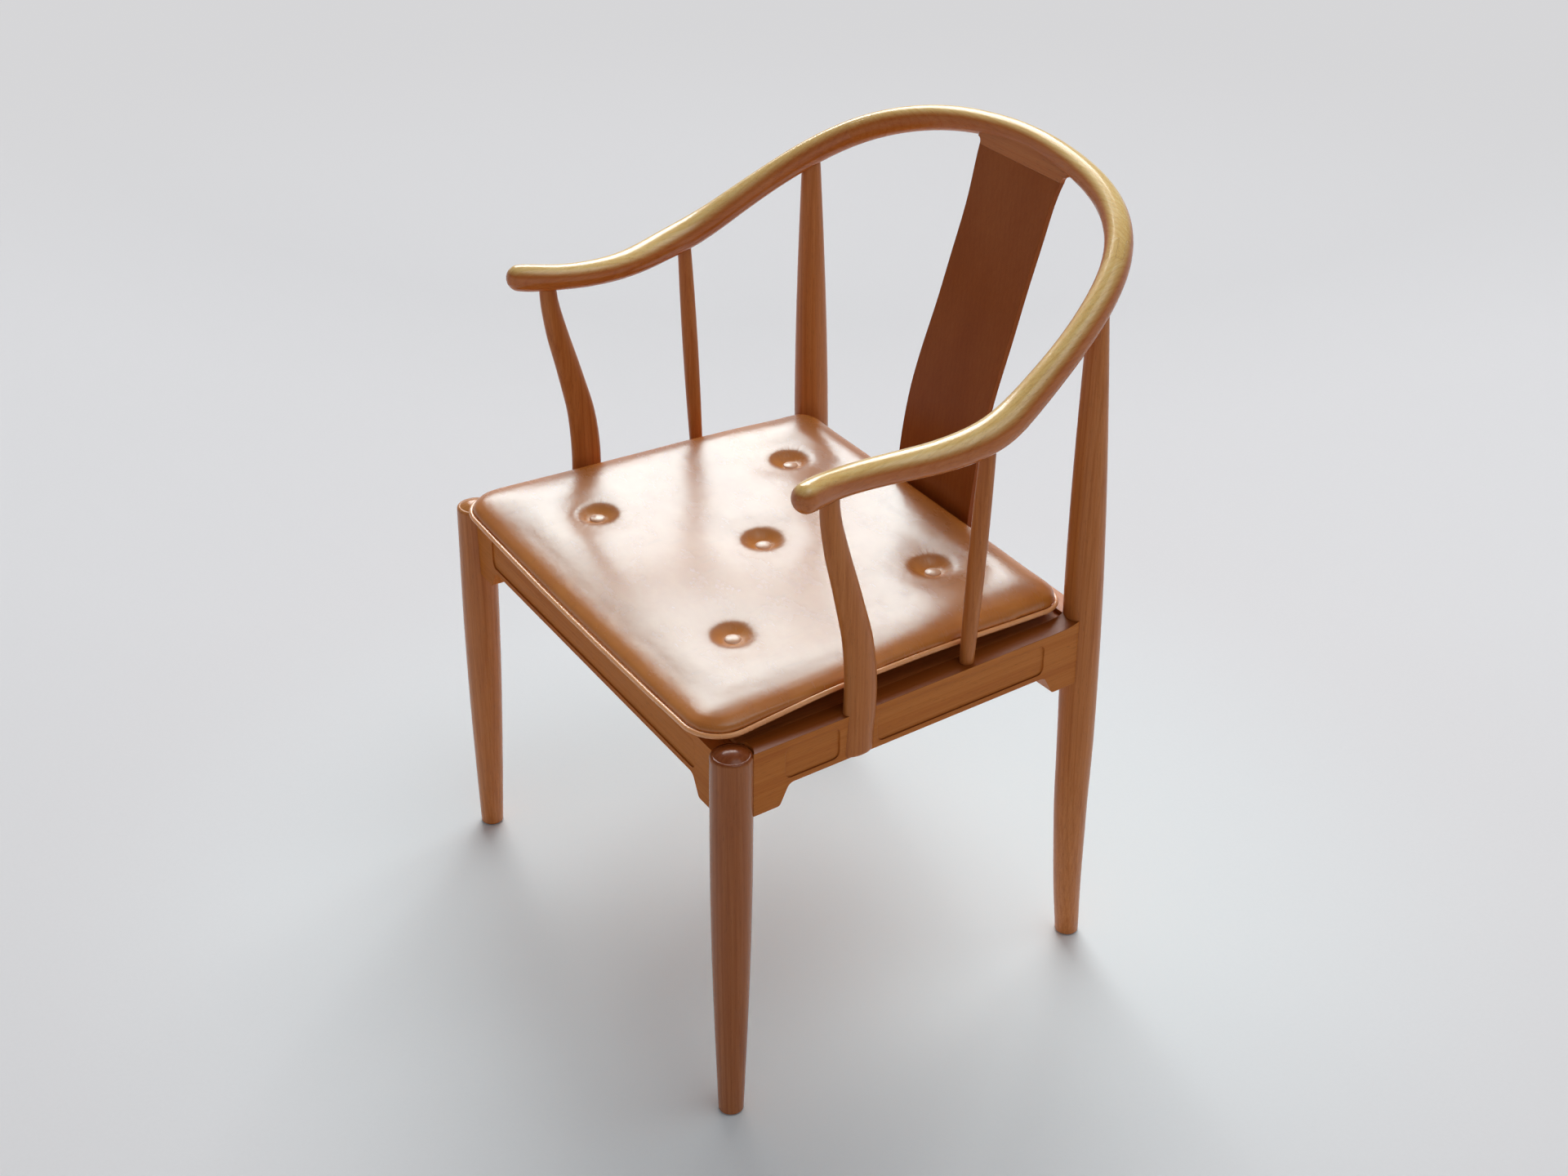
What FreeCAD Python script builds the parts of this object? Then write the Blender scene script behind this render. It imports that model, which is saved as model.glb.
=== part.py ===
import FreeCAD, Part
import math
import os

# Horseshoe back armchair in solid wood, with a loose tufted seat cushion.
# Millimetres. X runs across the chair, the front faces -Y and Z is up.
# The origin lies on the floor under the middle of the chair's outline.

os.makedirs("parts", exist_ok=True)
Vec = FreeCAD.Vector
UP = Vec(0, 0, 1)

# One overrun serves every cut that has to pass a face.
overrun = 4.0

# Seat outline: the cushion's seam line, which the seat frame is set out from
cushion_front_half = 262.6
cushion_rear_half = 236.4
cushion_front_y = -270.4
cushion_rear_y = 150.4
side_rail_front_proud = 22.1
side_rail_rear_proud = 24.0
front_rail_setback = 13.2
rear_rail_proud = 18.2
side_rail_front_x = cushion_front_half + side_rail_front_proud
side_rail_rear_x = cushion_rear_half + side_rail_rear_proud
front_rail_face_y = cushion_front_y + front_rail_setback
rear_rail_face_y = cushion_rear_y + rear_rail_proud

# Legs
foot_radius = 12.4
leg_full_radius = 20.0
front_foot_inset = 10.3
front_foot_proud = 1.2
front_top_inset = 15.1
front_top_setback = 8.0
front_foot_x = side_rail_front_x - front_foot_inset
front_foot_y = front_rail_face_y - front_foot_proud
front_top_x = side_rail_front_x - front_top_inset
front_top_y = front_rail_face_y + front_top_setback
front_rim_z = 416.5
front_dome_rise = 5.0
front_rim_round = 3.5
front_full_share = 0.78
rear_seat_inset = 11.89549
rear_seat_setback = 7.73498
rear_seat_x = side_rail_rear_x - rear_seat_inset
rear_seat_y = rear_rail_face_y - rear_seat_setback
rear_foot_tuck = 19.2
rear_foot_sweep = 26.2
rear_knee_z = 279.0
rear_full_z = 395.0
rear_full_radius = 19.2
rear_head_out = 2.275
rear_head_back = 0.516
rear_head_rise = 2.832
rear_head_radius = 9.4
rear_tenon_radius = 6.0
glide_radius = 10.4
glide_height = 2.0

# Seat rails
rail_height = 46.5
rail_thickness = 22.0
side_rail_top_z = 418.5
front_rail_drop = 8.2
bracket_drop = 21.4
bracket_flat = 26.6
bracket_corner_radius = 4.0
bracket_cove_radius = 8.0
bracket_angle = 63.0
rear_rise = 3.5
rear_rise_run = 24.0
panel_depth = 1.6
panel_corner_radius = 7.0
panel_top_margin = 7.5
panel_bottom_margin = 5.5
panel_end_margin = 35.5
panel_rear_margin = 42.5
panel_post_margin = 4.6
tenon_thickness = 9.0
tenon_height = 30.0
tenon_depth = 17.0
cross_tenon_depth = 11.0
tenon_gap = 0.1

# Arm posts
arm_post_foot_inset = 4.35599
arm_post_setback = 139.2
arm_post_foot_y = front_rail_face_y + arm_post_setback
arm_post_sway = 36.0
arm_post_foot_z = 372.4
arm_post_foot_along = 17.0
arm_post_head_along = 8.9
arm_post_foot_across = 10.0
arm_post_head_across = 8.8
arm_post_foot_round = 4.5
arm_post_tenon_radius = 6.0
arm_post_height_shares = (0, 0.12, 0.25, 0.39, 0.475, 0.556, 0.64, 0.723, 0.806, 0.89, 0.95, 1)
arm_post_sway_shares = (0, -0.05, -0.1, -0.03, 0.08, 0.23, 0.39, 0.56, 0.71, 0.83, 0.87, 0.88)
arm_post_along_shares = (1, 1, 0.98, 0.865, 0.76, 0.655, 0.55, 0.455, 0.31, 0.12, 0.02, 0)

# Arm spindles
spindle_spacing = 133.2
spindle_y = arm_post_foot_y + spindle_spacing
spindle_foot_inset = 11.55439
spindle_foot_radius = 6.9
spindle_belly_radius = 8.5
spindle_head_radius = 6.8
spindle_belly_share = 0.5
spindle_tenon_radius = 4.5
spindle_tenon_depth = 16.0

# Bow: the horseshoe of arms and crest
bow_half_span = 275.8
bow_length = 439.0
bow_tip_reach = 27.32
bow_tip_y = arm_post_foot_y - arm_post_sway * arm_post_sway_shares[-1] - bow_tip_reach
bow_tip_z = 658.0
bow_rise = 150.3
bow_radius = 14.0
bow_section_count = 19
arm_post_head_inset = 5.4
spindle_head_inset = 0.6
rear_head_share = 0.756
bow_x_shares = (1.006, 0.951, 0.952, 0.972, 0.989, 0.999, 1, 0.995, 0.976, 0.94, 0.875, 0.76,
                0.567, 0.235, 0)
bow_y_shares = (0, 0.13, 0.23, 0.304, 0.362, 0.406, 0.443, 0.477, 0.548, 0.645, 0.756, 0.861,
                0.943, 0.992, 1)
bow_z_shares = (0, -0.028, -0.036, -0.026, -0.003, 0.026, 0.054, 0.09, 0.2, 0.366, 0.56, 0.737,
                0.873, 0.978, 1)
bow_across_shares = (0.95, 1.04, 1.12, 1.18, 1.22, 1.25, 1.25, 1.22, 1.1, 1, 0.98, 0.97,
                     0.94, 0.86, 0.82)
bow_upward_shares = (0.99, 0.93, 0.95, 1, 1.05, 1.09, 1.11, 1.11, 1.04, 1, 1, 1,
                     0.95, 0.85, 0.83)
tip_reach_shares = (0.985, 0.93, 0.8, 0.58, 0.3)
joint_place_share = 0.648
finger_length = 26.0

# Back splat and the widening of the crest that receives it
splat_thickness = 5.8
splat_width = 132.0
splat_setback = 3.4
splat_top_setback = 17.2
splat_top_drop = 21.3
splat_foot_y = cushion_rear_y + splat_setback
splat_top_y = bow_tip_y + bow_length - splat_top_setback
splat_foot_z = side_rail_top_z
splat_top_z = bow_tip_z + bow_rise - splat_top_drop
splat_height_shares = (0, 0.08, 0.21, 0.32, 0.4, 0.475, 0.55, 0.71, 0.87, 0.95, 1)
splat_lean_shares = (0, 0.015, 0.076, 0.157, 0.242, 0.338, 0.441, 0.641, 0.843, 0.93, 1)
splat_row_shares = (0, 0.25, 0.5, 0.73, 0.86, 0.94, 1)
splat_width_shares = (0.97, 0.98, 0.945, 0.927, 0.933, 0.958, 1)
splat_tongue_thickness = 3.0
splat_tongue_height = 11.0
splat_tongue_margin = 8.0
crest_flare_radius = 6.0
crest_flare_start = 0.5
crest_plate_height = 20.0

# Seat panel, ledges and corner blocks
seat_panel_thickness = 9.0
seat_panel_sink = 4.0
seat_panel_gap = 0.6
seat_panel_leg_gap = 1.5
ledge_width = 14.0
ledge_height = 10.0
block_leg = 46.0
block_height = 20.0
block_leg_gap = 1.0
screw_shank_radius = 2.2
screw_head_radius = 4.4
screw_head_height = 3.0
screw_gap = 0.1
block_screw_length = 22.0
block_screw_place = 30.0
block_screw_seat = 9.0
post_screw_length = 19.0
post_screw_spacing = 14.0
post_screw_rise = 8.0

# Cushion
cushion_front_round = 38.0
cushion_rear_round = 30.0
cushion_seam_z = 428.0
cushion_crown_z = 452.0
cushion_gap = 0.3
cushion_inset_span = 150.0
cushion_low_height_shares = (0, 0.2, 0.62, 1)
cushion_low_inset_shares = (0.285, 0.19, 0.085, 0)
cushion_high_height_shares = (0.26, 0.52, 0.71, 0.83, 0.915, 0.97, 1)
cushion_high_inset_shares = (-0.008, 0.002, 0.028, 0.072, 0.2, 0.45, 0.8)
cushion_least_round_share = 0.3
piping_radius = 3.2
button_radius = 8.4
button_height = 4.0
button_top_z = 438.0
button_front_inset = 124.9
button_front_setback = 100.4
button_rear_inset = 102.8
button_rear_setback = 88.4
button_middle_setback = 117.0
button_front_x = cushion_front_half - button_front_inset
button_front_y = cushion_front_y + button_front_setback
button_rear_x = cushion_rear_half - button_rear_inset
button_rear_y = cushion_rear_y - button_rear_setback
button_middle_y = button_front_y + button_middle_setback
dimple_radius = 25.0
dimple_floor_drop = 2.0
tuft_cord_radius = 1.1
back_button_thickness = 2.5


def export(shape, node):
    shape.exportStep("parts/" + node + ".step")


def mirrored(shape):
    return shape.mirror(Vec(0, 0, 0), Vec(1, 0, 0))


def between(start, end, share):
    return start + (end - start) * share


def on_list(values, shares, share):
    # Straight line reading of a list of values placed at a list of shares.
    for index in range(len(shares) - 1):
        if share <= shares[index + 1]:
            span = (share - shares[index]) / (shares[index + 1] - shares[index])
            return between(values[index], values[index + 1], span)
    return values[-1]


def all_below(z):
    # Everything under a height, for feet that stand flat on a rail.
    span = 4 * bow_half_span
    return Part.makeBox(span, span, span, Vec(-span / 2, -span / 2, z - span))


def circle_wire(centre, radius):
    return Part.Wire(Part.makeCircle(radius, centre, UP))


def oval_wire(centre, across, upward, half_across, half_upward):
    # Two halves of a unit circle stretched along two directions.
    normal = across.cross(upward)
    circle = Part.Circle(Vec(0, 0, 0), UP, 1)
    halves = [Part.ArcOfCircle(circle, half * math.pi, (half + 1) * math.pi).toShape()
              for half in range(2)]
    unit = Part.Wire([half.toNurbs().Edges[0] for half in halves])
    matrix = FreeCAD.Matrix(
        across.x * half_across, upward.x * half_upward, normal.x, centre.x,
        across.y * half_across, upward.y * half_upward, normal.y, centre.y,
        across.z * half_across, upward.z * half_upward, normal.z, centre.z,
        0, 0, 0, 1)
    return unit.transformGeometry(matrix)


def spline_through(points):
    curve = Part.BSplineCurve()
    curve.interpolate(points)
    return curve


# Front leg: a turned leg on a slightly leaning axis, with a domed head.

def swell(share, start_radius, end_radius):
    return start_radius + (end_radius - start_radius) * math.sin(math.pi / 2 * share)


def front_leg_radius(z):
    share = min(1, z / (front_rim_z * front_full_share))
    return swell(share, foot_radius, leg_full_radius)


def front_leg_axis():
    foot = Vec(front_foot_x, front_foot_y, 0)
    head = Vec(front_top_x, front_top_y, front_rim_z)
    return foot, head


def make_front_leg(extended):
    foot, head = front_leg_axis()
    axis = head.sub(foot)
    length = axis.Length
    steps = 10
    side_top = length - front_rim_round
    side = [Vec(front_leg_radius(side_top * i / steps), 0, side_top * i / steps)
            for i in range(steps + 1)]
    below = Vec(foot_radius, 0, -overrun)
    edges = [Part.LineSegment(Vec(0, 0, -overrun), below).toShape(),
             Part.LineSegment(below, side[0]).toShape(),
             spline_through(side).toShape()]
    if extended:
        top = Vec(side[-1].x, 0, length + bracket_drop)
        edges.append(Part.LineSegment(side[-1], top).toShape())
        edges.append(Part.LineSegment(top, Vec(0, 0, top.z)).toShape())
        summit = Vec(0, 0, top.z)
    else:
        turn = math.sin(math.pi / 4)
        centre = Vec(side[-1].x - front_rim_round, 0, side_top)
        middle = centre.add(Vec(turn, 0, turn).multiply(front_rim_round))
        rim = centre.add(Vec(0, 0, front_rim_round))
        summit = Vec(0, 0, length + front_dome_rise)
        dome_radius = (rim.x ** 2 + front_dome_rise ** 2) / (2 * front_dome_rise)
        dome_x = rim.x * turn
        dome_middle = Vec(dome_x, 0, summit.z - dome_radius
                          + math.sqrt(dome_radius ** 2 - dome_x ** 2))
        edges.append(Part.Arc(side[-1], middle, rim).toShape())
        edges.append(Part.Arc(rim, dome_middle, summit).toShape())
    edges.append(Part.LineSegment(summit, Vec(0, 0, -overrun)).toShape())
    profile = Part.Face(Part.Wire(edges))
    leg = profile.revolve(Vec(0, 0, 0), UP, 360)
    leg.Placement = FreeCAD.Placement(foot, FreeCAD.Rotation(UP, axis))
    return cut_at_glide(leg, foot)


def cut_at_glide(leg, foot):
    side = leg_full_radius + overrun
    low = Part.makeBox(2 * side, 2 * side, glide_height + leg_full_radius + overrun,
                       Vec(foot.x - side, foot.y - side, -leg_full_radius - overrun))
    return leg.cut(low)


# Rear leg: a round leg that sweeps in from its foot, is fullest at the seat
# and tapers as a back post up to the bow.

def rear_head():
    # The post's head lies just outside the middle of the bow.
    x_share = on_list(bow_x_shares, bow_y_shares, rear_head_share)
    z_share = on_list(bow_z_shares, bow_y_shares, rear_head_share)
    return Vec(bow_half_span * x_share + rear_head_out,
               bow_tip_y + bow_length * rear_head_share + rear_head_back,
               bow_tip_z + bow_rise * z_share + rear_head_rise)


def rear_leg_centre(z):
    # Straight from the head through the seat's corner down to the knee.
    head = rear_head()
    lean = (max(z, rear_knee_z) - side_rail_top_z) / (head.z - side_rail_top_z)
    sweep = (max(0, rear_knee_z - z) / rear_knee_z) ** 2
    return Vec(between(rear_seat_x, head.x, lean) - rear_foot_tuck * sweep,
               between(rear_seat_y, head.y, lean) + rear_foot_sweep * sweep, z)


def rear_leg_radius(z):
    if z < rear_full_z:
        return swell(z / rear_full_z, foot_radius, rear_full_radius)
    share = (z - rear_full_z) / (rear_head().z - rear_full_z)
    return swell(max(0, 1 - share), rear_head_radius, rear_full_radius)


def make_rear_leg(top_z):
    steps = 14
    wires = []
    for i in range(steps + 1):
        z = between(glide_height, top_z, i / steps)
        wires.append(circle_wire(rear_leg_centre(z), rear_leg_radius(z)))
    return Part.makeLoft(wires, True, False)


# Bow: one horseshoe of oval section, cut later into a crest and two arms.

def bow_point(index, side):
    return Vec(side * bow_half_span * bow_x_shares[index],
               bow_tip_y + bow_length * bow_y_shares[index],
               bow_tip_z + bow_rise * bow_z_shares[index])


def bow_curve():
    last = len(bow_x_shares) - 1
    points = [bow_point(i, 1) for i in range(last)]
    points.append(bow_point(last, 1))
    points += [bow_point(i, -1) for i in range(last - 1, -1, -1)]
    return spline_through(points)


def half_section_sizes(place):
    # place runs from 0 at an arm's tip to 1 at the middle of the crest
    lengths = [0]
    for i in range(1, len(bow_x_shares)):
        lengths.append(lengths[-1] + bow_point(i, 1).distanceToPoint(bow_point(i - 1, 1)))
    shares = [value / lengths[-1] for value in lengths]
    return (bow_radius * on_list(bow_across_shares, shares, place),
            bow_radius * on_list(bow_upward_shares, shares, place))


def bow_frame(curve, parameter):
    tangent = curve.tangent(parameter)[0]
    across = tangent.cross(UP).normalize()
    upward = across.cross(tangent).normalize()
    return curve.value(parameter), tangent, across, upward


def make_bow():
    curve = bow_curve()
    total = curve.length()
    wires = []
    first = curve.FirstParameter
    centre, tangent, across, upward = bow_frame(curve, first)
    half_across, half_upward = half_section_sizes(0)
    for share in tip_reach_shares:
        shrink = math.sqrt(1 - share * share)
        place = centre.sub(Vec(tangent).multiply(half_upward * share))
        wires.append(oval_wire(place, across, upward, half_across * shrink, half_upward * shrink))
    sections = 2 * bow_section_count
    for i in range(sections + 1):
        parameter = curve.parameterAtDistance(total * i / sections, first)
        centre, tangent, across, upward = bow_frame(curve, parameter)
        place = 1 - abs(1 - i / bow_section_count)
        half_across, half_upward = half_section_sizes(place)
        wires.append(oval_wire(centre, across, upward, half_across, half_upward))
    for share in reversed(tip_reach_shares):
        shrink = math.sqrt(1 - share * share)
        place = centre.add(Vec(tangent).multiply(half_upward * share))
        wires.append(oval_wire(place, across, upward, half_across * shrink, half_upward * shrink))
    return Part.makeLoft(wires, True, False)


def bow_height_at(y):
    # Height of the arm's middle line above a place along the chair.
    places = [bow_tip_y + bow_length * share for share in bow_y_shares]
    heights = [bow_tip_z + bow_rise * share for share in bow_z_shares]
    return on_list(heights, places, y)


def finger_tool(curve, arm_side):
    # What one side of the finger joint leaves to the other: a block past the
    # fingers, and every second finger.
    parameter = curve.parameterAtDistance(curve.length() / 2 * joint_place_share,
                                          curve.FirstParameter)
    centre, tangent, across, upward = bow_frame(curve, parameter)
    reach = 3 * bow_radius
    width = bow_radius / 2
    start = -finger_length * 1.5
    spans = ((-reach, -width), (0, width))
    if not arm_side:
        start = finger_length / 2
        spans = ((-width, 0), (width, reach))
    tool = Part.makeBox(finger_length, 2 * reach, 2 * reach, Vec(start, -reach, -reach))
    fingers = [Part.makeBox(finger_length, high - low, 2 * reach,
                            Vec(-finger_length / 2, low, -reach))
               for low, high in spans]
    tool = tool.fuse(fingers).removeSplitter()
    rotation = FreeCAD.Rotation(tangent, across.negative(), upward, "XYZ")
    tool.Placement = FreeCAD.Placement(centre, rotation)
    return tool


def nearest(shape, place):
    return min(shape.Solids, key=lambda solid: solid.CenterOfMass.distanceToPoint(place))


def split_bow(bow):
    # An arm ends in fingers that fit between those of the crest.
    curve = bow_curve()
    arm_tool = finger_tool(curve, True)
    arms = bow.cut(finger_tool(curve, False))
    arm = nearest(arms, bow_point(0, 1))
    crest = bow.cut([arm_tool, mirrored(arm_tool)])
    return arm, nearest(crest, bow_point(len(bow_x_shares) - 1, 1))


# Seat rails. Each rail stands on a straight line in plan: u runs along it
# from one leg's axis to the next, and depth runs inwards from its outer face.

class RailLine:
    def __init__(self, start, end, inward_hint, start_leg, end_leg, radii, bottom_z):
        self.start = start
        self.along = end.sub(start).normalize()
        self.length = end.sub(start).Length
        inward = self.along.cross(UP)
        self.inward = inward if inward.dot(inward_hint) > 0 else inward.negative()
        self.radii = radii
        self.start_reach = self.reach(start, start_leg, radii[0])
        self.end_reach = self.reach(end, end_leg, radii[1])
        self.bottom_z = bottom_z

    def reach(self, place, leg, radius):
        # How far the round leg covers the outer face past the leg's axis.
        offset = abs(leg.sub(place).dot(self.inward))
        return math.sqrt(max(0, radius ** 2 - offset ** 2))

    def point(self, u, z, depth=0):
        place = self.start.add(Vec(self.along).multiply(u))
        place = place.add(Vec(self.inward).multiply(depth))
        return Vec(place.x, place.y, z)

    def block(self, u_low, u_high, z_low, z_high, depth_low, depth_high):
        corners = [self.point(u_low, z_low, depth_low), self.point(u_high, z_low, depth_low),
                   self.point(u_high, z_low, depth_high), self.point(u_low, z_low, depth_high)]
        face = Part.Face(Part.makePolygon(corners + corners[:1]))
        return face.extrude(Vec(0, 0, z_high - z_low))


def side_face_x(y):
    share = (y - front_rail_face_y) / (rear_rail_face_y - front_rail_face_y)
    return between(side_rail_front_x, side_rail_rear_x, share)


def side_line():
    front_leg = front_leg_axis()[1]
    rear_leg = rear_leg_centre(side_rail_top_z)
    start = Vec(side_face_x(front_leg.y), front_leg.y, 0)
    end = Vec(side_face_x(rear_leg.y), rear_leg.y, 0)
    return RailLine(start, end, Vec(-1, 0, 0), flat(front_leg), flat(rear_leg),
                    (leg_full_radius, rear_full_radius), side_rail_top_z - rail_height)


def front_line():
    leg = front_leg_axis()[1]
    start = Vec(leg.x, front_rail_face_y, 0)
    end = Vec(-leg.x, front_rail_face_y, 0)
    return RailLine(start, end, Vec(0, 1, 0), flat(leg), Vec(-leg.x, leg.y, 0),
                    (leg_full_radius, leg_full_radius),
                    side_rail_top_z - front_rail_drop - rail_height)


def rear_line():
    leg = rear_leg_centre(side_rail_top_z)
    start = Vec(leg.x, rear_rail_face_y, 0)
    end = Vec(-leg.x, rear_rail_face_y, 0)
    return RailLine(start, end, Vec(0, -1, 0), flat(leg), Vec(-leg.x, leg.y, 0),
                    (rear_full_radius, rear_full_radius), side_rail_top_z - rail_height)


def flat(place):
    return Vec(place.x, place.y, 0)


def arc_points(line, centre_u, centre_z, radius, start_degrees, end_degrees):
    points = []
    for share in (0, 0.5, 1):
        angle = math.radians(between(start_degrees, end_degrees, share))
        points.append(line.point(centre_u + radius * math.cos(angle),
                                 centre_z + radius * math.sin(angle)))
    return points


def bracket_edges(line, tip_u, direction):
    # Ogee from the low bracket up to the rail's straight underside.
    low_z = line.bottom_z - bracket_drop
    quarter = 90
    convex = arc_points(line, tip_u, low_z + bracket_corner_radius, bracket_corner_radius,
                        -quarter, -quarter + direction * bracket_angle)
    angle = math.radians(bracket_angle)
    climb = bracket_drop - (bracket_corner_radius + bracket_cove_radius) * (1 - math.cos(angle))
    run = climb / math.tan(angle)
    cove_u = (tip_u + direction * run
              + direction * (bracket_corner_radius + bracket_cove_radius) * math.sin(angle))
    cove = arc_points(line, cove_u, line.bottom_z - bracket_cove_radius, bracket_cove_radius,
                      quarter + direction * bracket_angle, quarter)
    edges = [Part.Arc(*convex).toShape(),
             Part.LineSegment(convex[-1], cove[0]).toShape(),
             Part.Arc(*cove).toShape()]
    return edges, convex[0], cove[-1]


def rail_plank(line, rise):
    # Rail blank, with a low bracket at each leg and a top that can rise at its end.
    low_z = line.bottom_z - bracket_drop
    top_z = line.bottom_z + rail_height
    first_tip = line.start_reach + bracket_flat
    last_tip = line.length - line.end_reach - bracket_flat
    first, first_low, first_high = bracket_edges(line, first_tip, 1)
    last, last_low, last_high = bracket_edges(line, last_tip, -1)
    start = line.point(0, low_z)
    end = line.point(line.length, low_z)
    top_start = line.point(0, top_z)
    top_end = line.point(line.length, top_z + rise)
    edges = [Part.LineSegment(start, first_low).toShape()] + first + last
    edges.append(Part.LineSegment(first_high, last_high).toShape())
    edges.append(Part.LineSegment(last_low, end).toShape())
    edges.append(Part.LineSegment(end, top_end).toShape())
    edges.append(Part.LineSegment(top_start, start).toShape())
    if rise:
        leg_u = line.length - line.end_reach
        leg_side = line.point(leg_u, top_z + rise)
        halfway = line.point(leg_u - rear_rise_run / 2, top_z + rise / 4)
        foot = line.point(leg_u - rear_rise_run, top_z)
        edges.append(Part.LineSegment(top_end, leg_side).toShape())
        edges.append(Part.Arc(leg_side, halfway, foot).toShape())
        edges.append(Part.LineSegment(foot, top_start).toShape())
    else:
        edges.append(Part.LineSegment(top_end, top_start).toShape())
    face = Part.Face(Part.Wire(Part.__sortEdges__(edges)))
    return face.extrude(Vec(line.inward).multiply(rail_thickness))


def sunk_panel(line, u_low, u_high):
    # Shallow field with rounded corners, sunk into the rail's outer face.
    z_low = line.bottom_z + panel_bottom_margin
    z_high = line.bottom_z + rail_height - panel_top_margin
    field = line.block(u_low, u_high, z_low, z_high, -overrun, panel_depth)
    corners = [edge for edge in field.Edges
               if abs(edge.tangentAt(edge.FirstParameter).dot(line.inward)) > 0.9]
    return field.makeFillet(panel_corner_radius, corners)


def rail_tenon(line, u_low, u_high, gap):
    middle = rail_thickness / 2
    z_low = line.bottom_z + (rail_height - tenon_height) / 2
    return line.block(u_low - gap, u_high + gap, z_low - gap, z_low + tenon_height + gap,
                      middle - tenon_thickness / 2 - gap, middle + tenon_thickness / 2 + gap)


def rail_tenons(line, depth, gap):
    first = line.radii[0]
    last = line.length - line.radii[1]
    return [rail_tenon(line, first - depth, first + overrun, gap),
            rail_tenon(line, last - overrun, last + depth, gap)]


def make_side_rail(envelopes):
    line = side_line()
    rail = rail_plank(line, rear_rise)
    post_u = arm_post_foot_y - line.start.y
    clear = arm_post_foot_along + panel_post_margin
    front_end = line.start_reach + panel_end_margin
    rear_end = line.length - line.end_reach - panel_rear_margin
    rail = rail.cut([sunk_panel(line, front_end, post_u - clear),
                     sunk_panel(line, post_u + clear, rear_end)])
    rail = rail.cut(envelopes)
    return rail.fuse(rail_tenons(line, tenon_depth, 0))


def make_cross_rail(line, envelopes):
    rail = rail_plank(line, 0)
    margin = line.start_reach + panel_end_margin
    rail = rail.cut(sunk_panel(line, margin, line.length - margin))
    rail = rail.cut(envelopes)
    return rail.fuse(rail_tenons(line, cross_tenon_depth, 0))


# Arm post: a gooseneck of flat oval section, let into the side rail's face.

def arm_post_head_y():
    return arm_post_foot_y - arm_post_sway * arm_post_sway_shares[-1]


def arm_post_foot_x():
    return side_face_x(arm_post_foot_y) - arm_post_foot_inset


def arm_post_head_x():
    return bow_half_span - arm_post_head_inset


def make_arm_post_blank():
    top_z = bow_height_at(arm_post_head_y())
    wires = []
    for height, sway, along in zip(arm_post_height_shares, arm_post_sway_shares,
                                   arm_post_along_shares):
        centre = Vec(between(arm_post_foot_x(), arm_post_head_x(), height),
                     arm_post_foot_y - arm_post_sway * sway,
                     between(arm_post_foot_z, top_z, height))
        wires.append(oval_wire(centre, Vec(1, 0, 0), Vec(0, 1, 0),
                               between(arm_post_foot_across, arm_post_head_across, height),
                               between(arm_post_head_along, arm_post_foot_along, along)))
    post = Part.makeLoft(wires, True, False)
    foot_edges = [edge for edge in post.Edges
                  if edge.BoundBox.ZMax - arm_post_foot_z < arm_post_foot_round]
    return post.makeFillet(arm_post_foot_round, foot_edges)


def arm_post_tenon(gap):
    y = arm_post_head_y()
    top_z = bow_height_at(y) + arm_post_tenon_radius
    depth = 2 * bow_radius + arm_post_tenon_radius
    return Part.makeCylinder(arm_post_tenon_radius + gap, depth + gap,
                             Vec(arm_post_head_x(), y, top_z - depth))


# Spindle: a slender turned rod, thickest near its middle.

def spindle_axis():
    foot = Vec(side_face_x(spindle_y) - spindle_foot_inset, spindle_y, side_rail_top_z)
    head = Vec(bow_half_span - spindle_head_inset, spindle_y, bow_height_at(spindle_y))
    return foot, head


def make_spindle_blank():
    foot, head = spindle_axis()
    axis = head.sub(foot)
    steps = 8
    profile = []
    for i in range(steps + 1):
        share = i / steps
        end_radius = spindle_foot_radius
        span = spindle_belly_share
        if share > spindle_belly_share:
            end_radius = spindle_head_radius
            span = 1 - spindle_belly_share
        fall = abs(share - spindle_belly_share) / span
        radius = between(spindle_belly_radius, end_radius, fall ** 2)
        profile.append(Vec(radius, 0, axis.Length * share))
    summit = Vec(0, 0, axis.Length)
    below = Vec(0, 0, -overrun)
    rim = profile[0].add(below)
    edges = [Part.LineSegment(below, rim).toShape(),
             Part.LineSegment(rim, profile[0]).toShape(),
             spline_through(profile).toShape(),
             Part.LineSegment(profile[-1], summit).toShape(),
             Part.LineSegment(summit, below).toShape()]
    rod = Part.Face(Part.Wire(edges)).revolve(Vec(0, 0, 0), UP, 360)
    rod.Placement = FreeCAD.Placement(foot, FreeCAD.Rotation(UP, axis))
    return rod.cut(all_below(side_rail_top_z))


def spindle_tenons(gap):
    foot, head = spindle_axis()
    axis = head.sub(foot).normalize()
    radius = spindle_tenon_radius + gap
    low = foot.sub(Vec(axis).multiply(spindle_tenon_depth + gap))
    bottom = Part.makeCylinder(radius, spindle_tenon_depth + gap + overrun, low, axis)
    inner = head.sub(Vec(axis).multiply(bow_radius + 2 * overrun))
    top = Part.makeCylinder(radius, bow_radius + 3 * overrun + gap, inner, axis)
    return [bottom, top]


def rear_leg_tenon(gap):
    low = rear_leg_centre(rear_head().z - 2 * bow_radius - overrun)
    high = rear_leg_centre(rear_head().z + overrun + gap)
    axis = high.sub(low)
    return Part.makeCylinder(rear_tenon_radius + gap, axis.Length, low, axis)


def largest(shape):
    return max(shape.Solids, key=lambda solid: solid.Volume)


# Back splat: a thin board, bent in profile and slightly waisted.

def splat_front_points():
    points = []
    for height, lean in zip(splat_height_shares, splat_lean_shares):
        points.append(Vec(0, between(splat_foot_y, splat_top_y, lean),
                          between(splat_foot_z, splat_top_z, height)))
    return points


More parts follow.
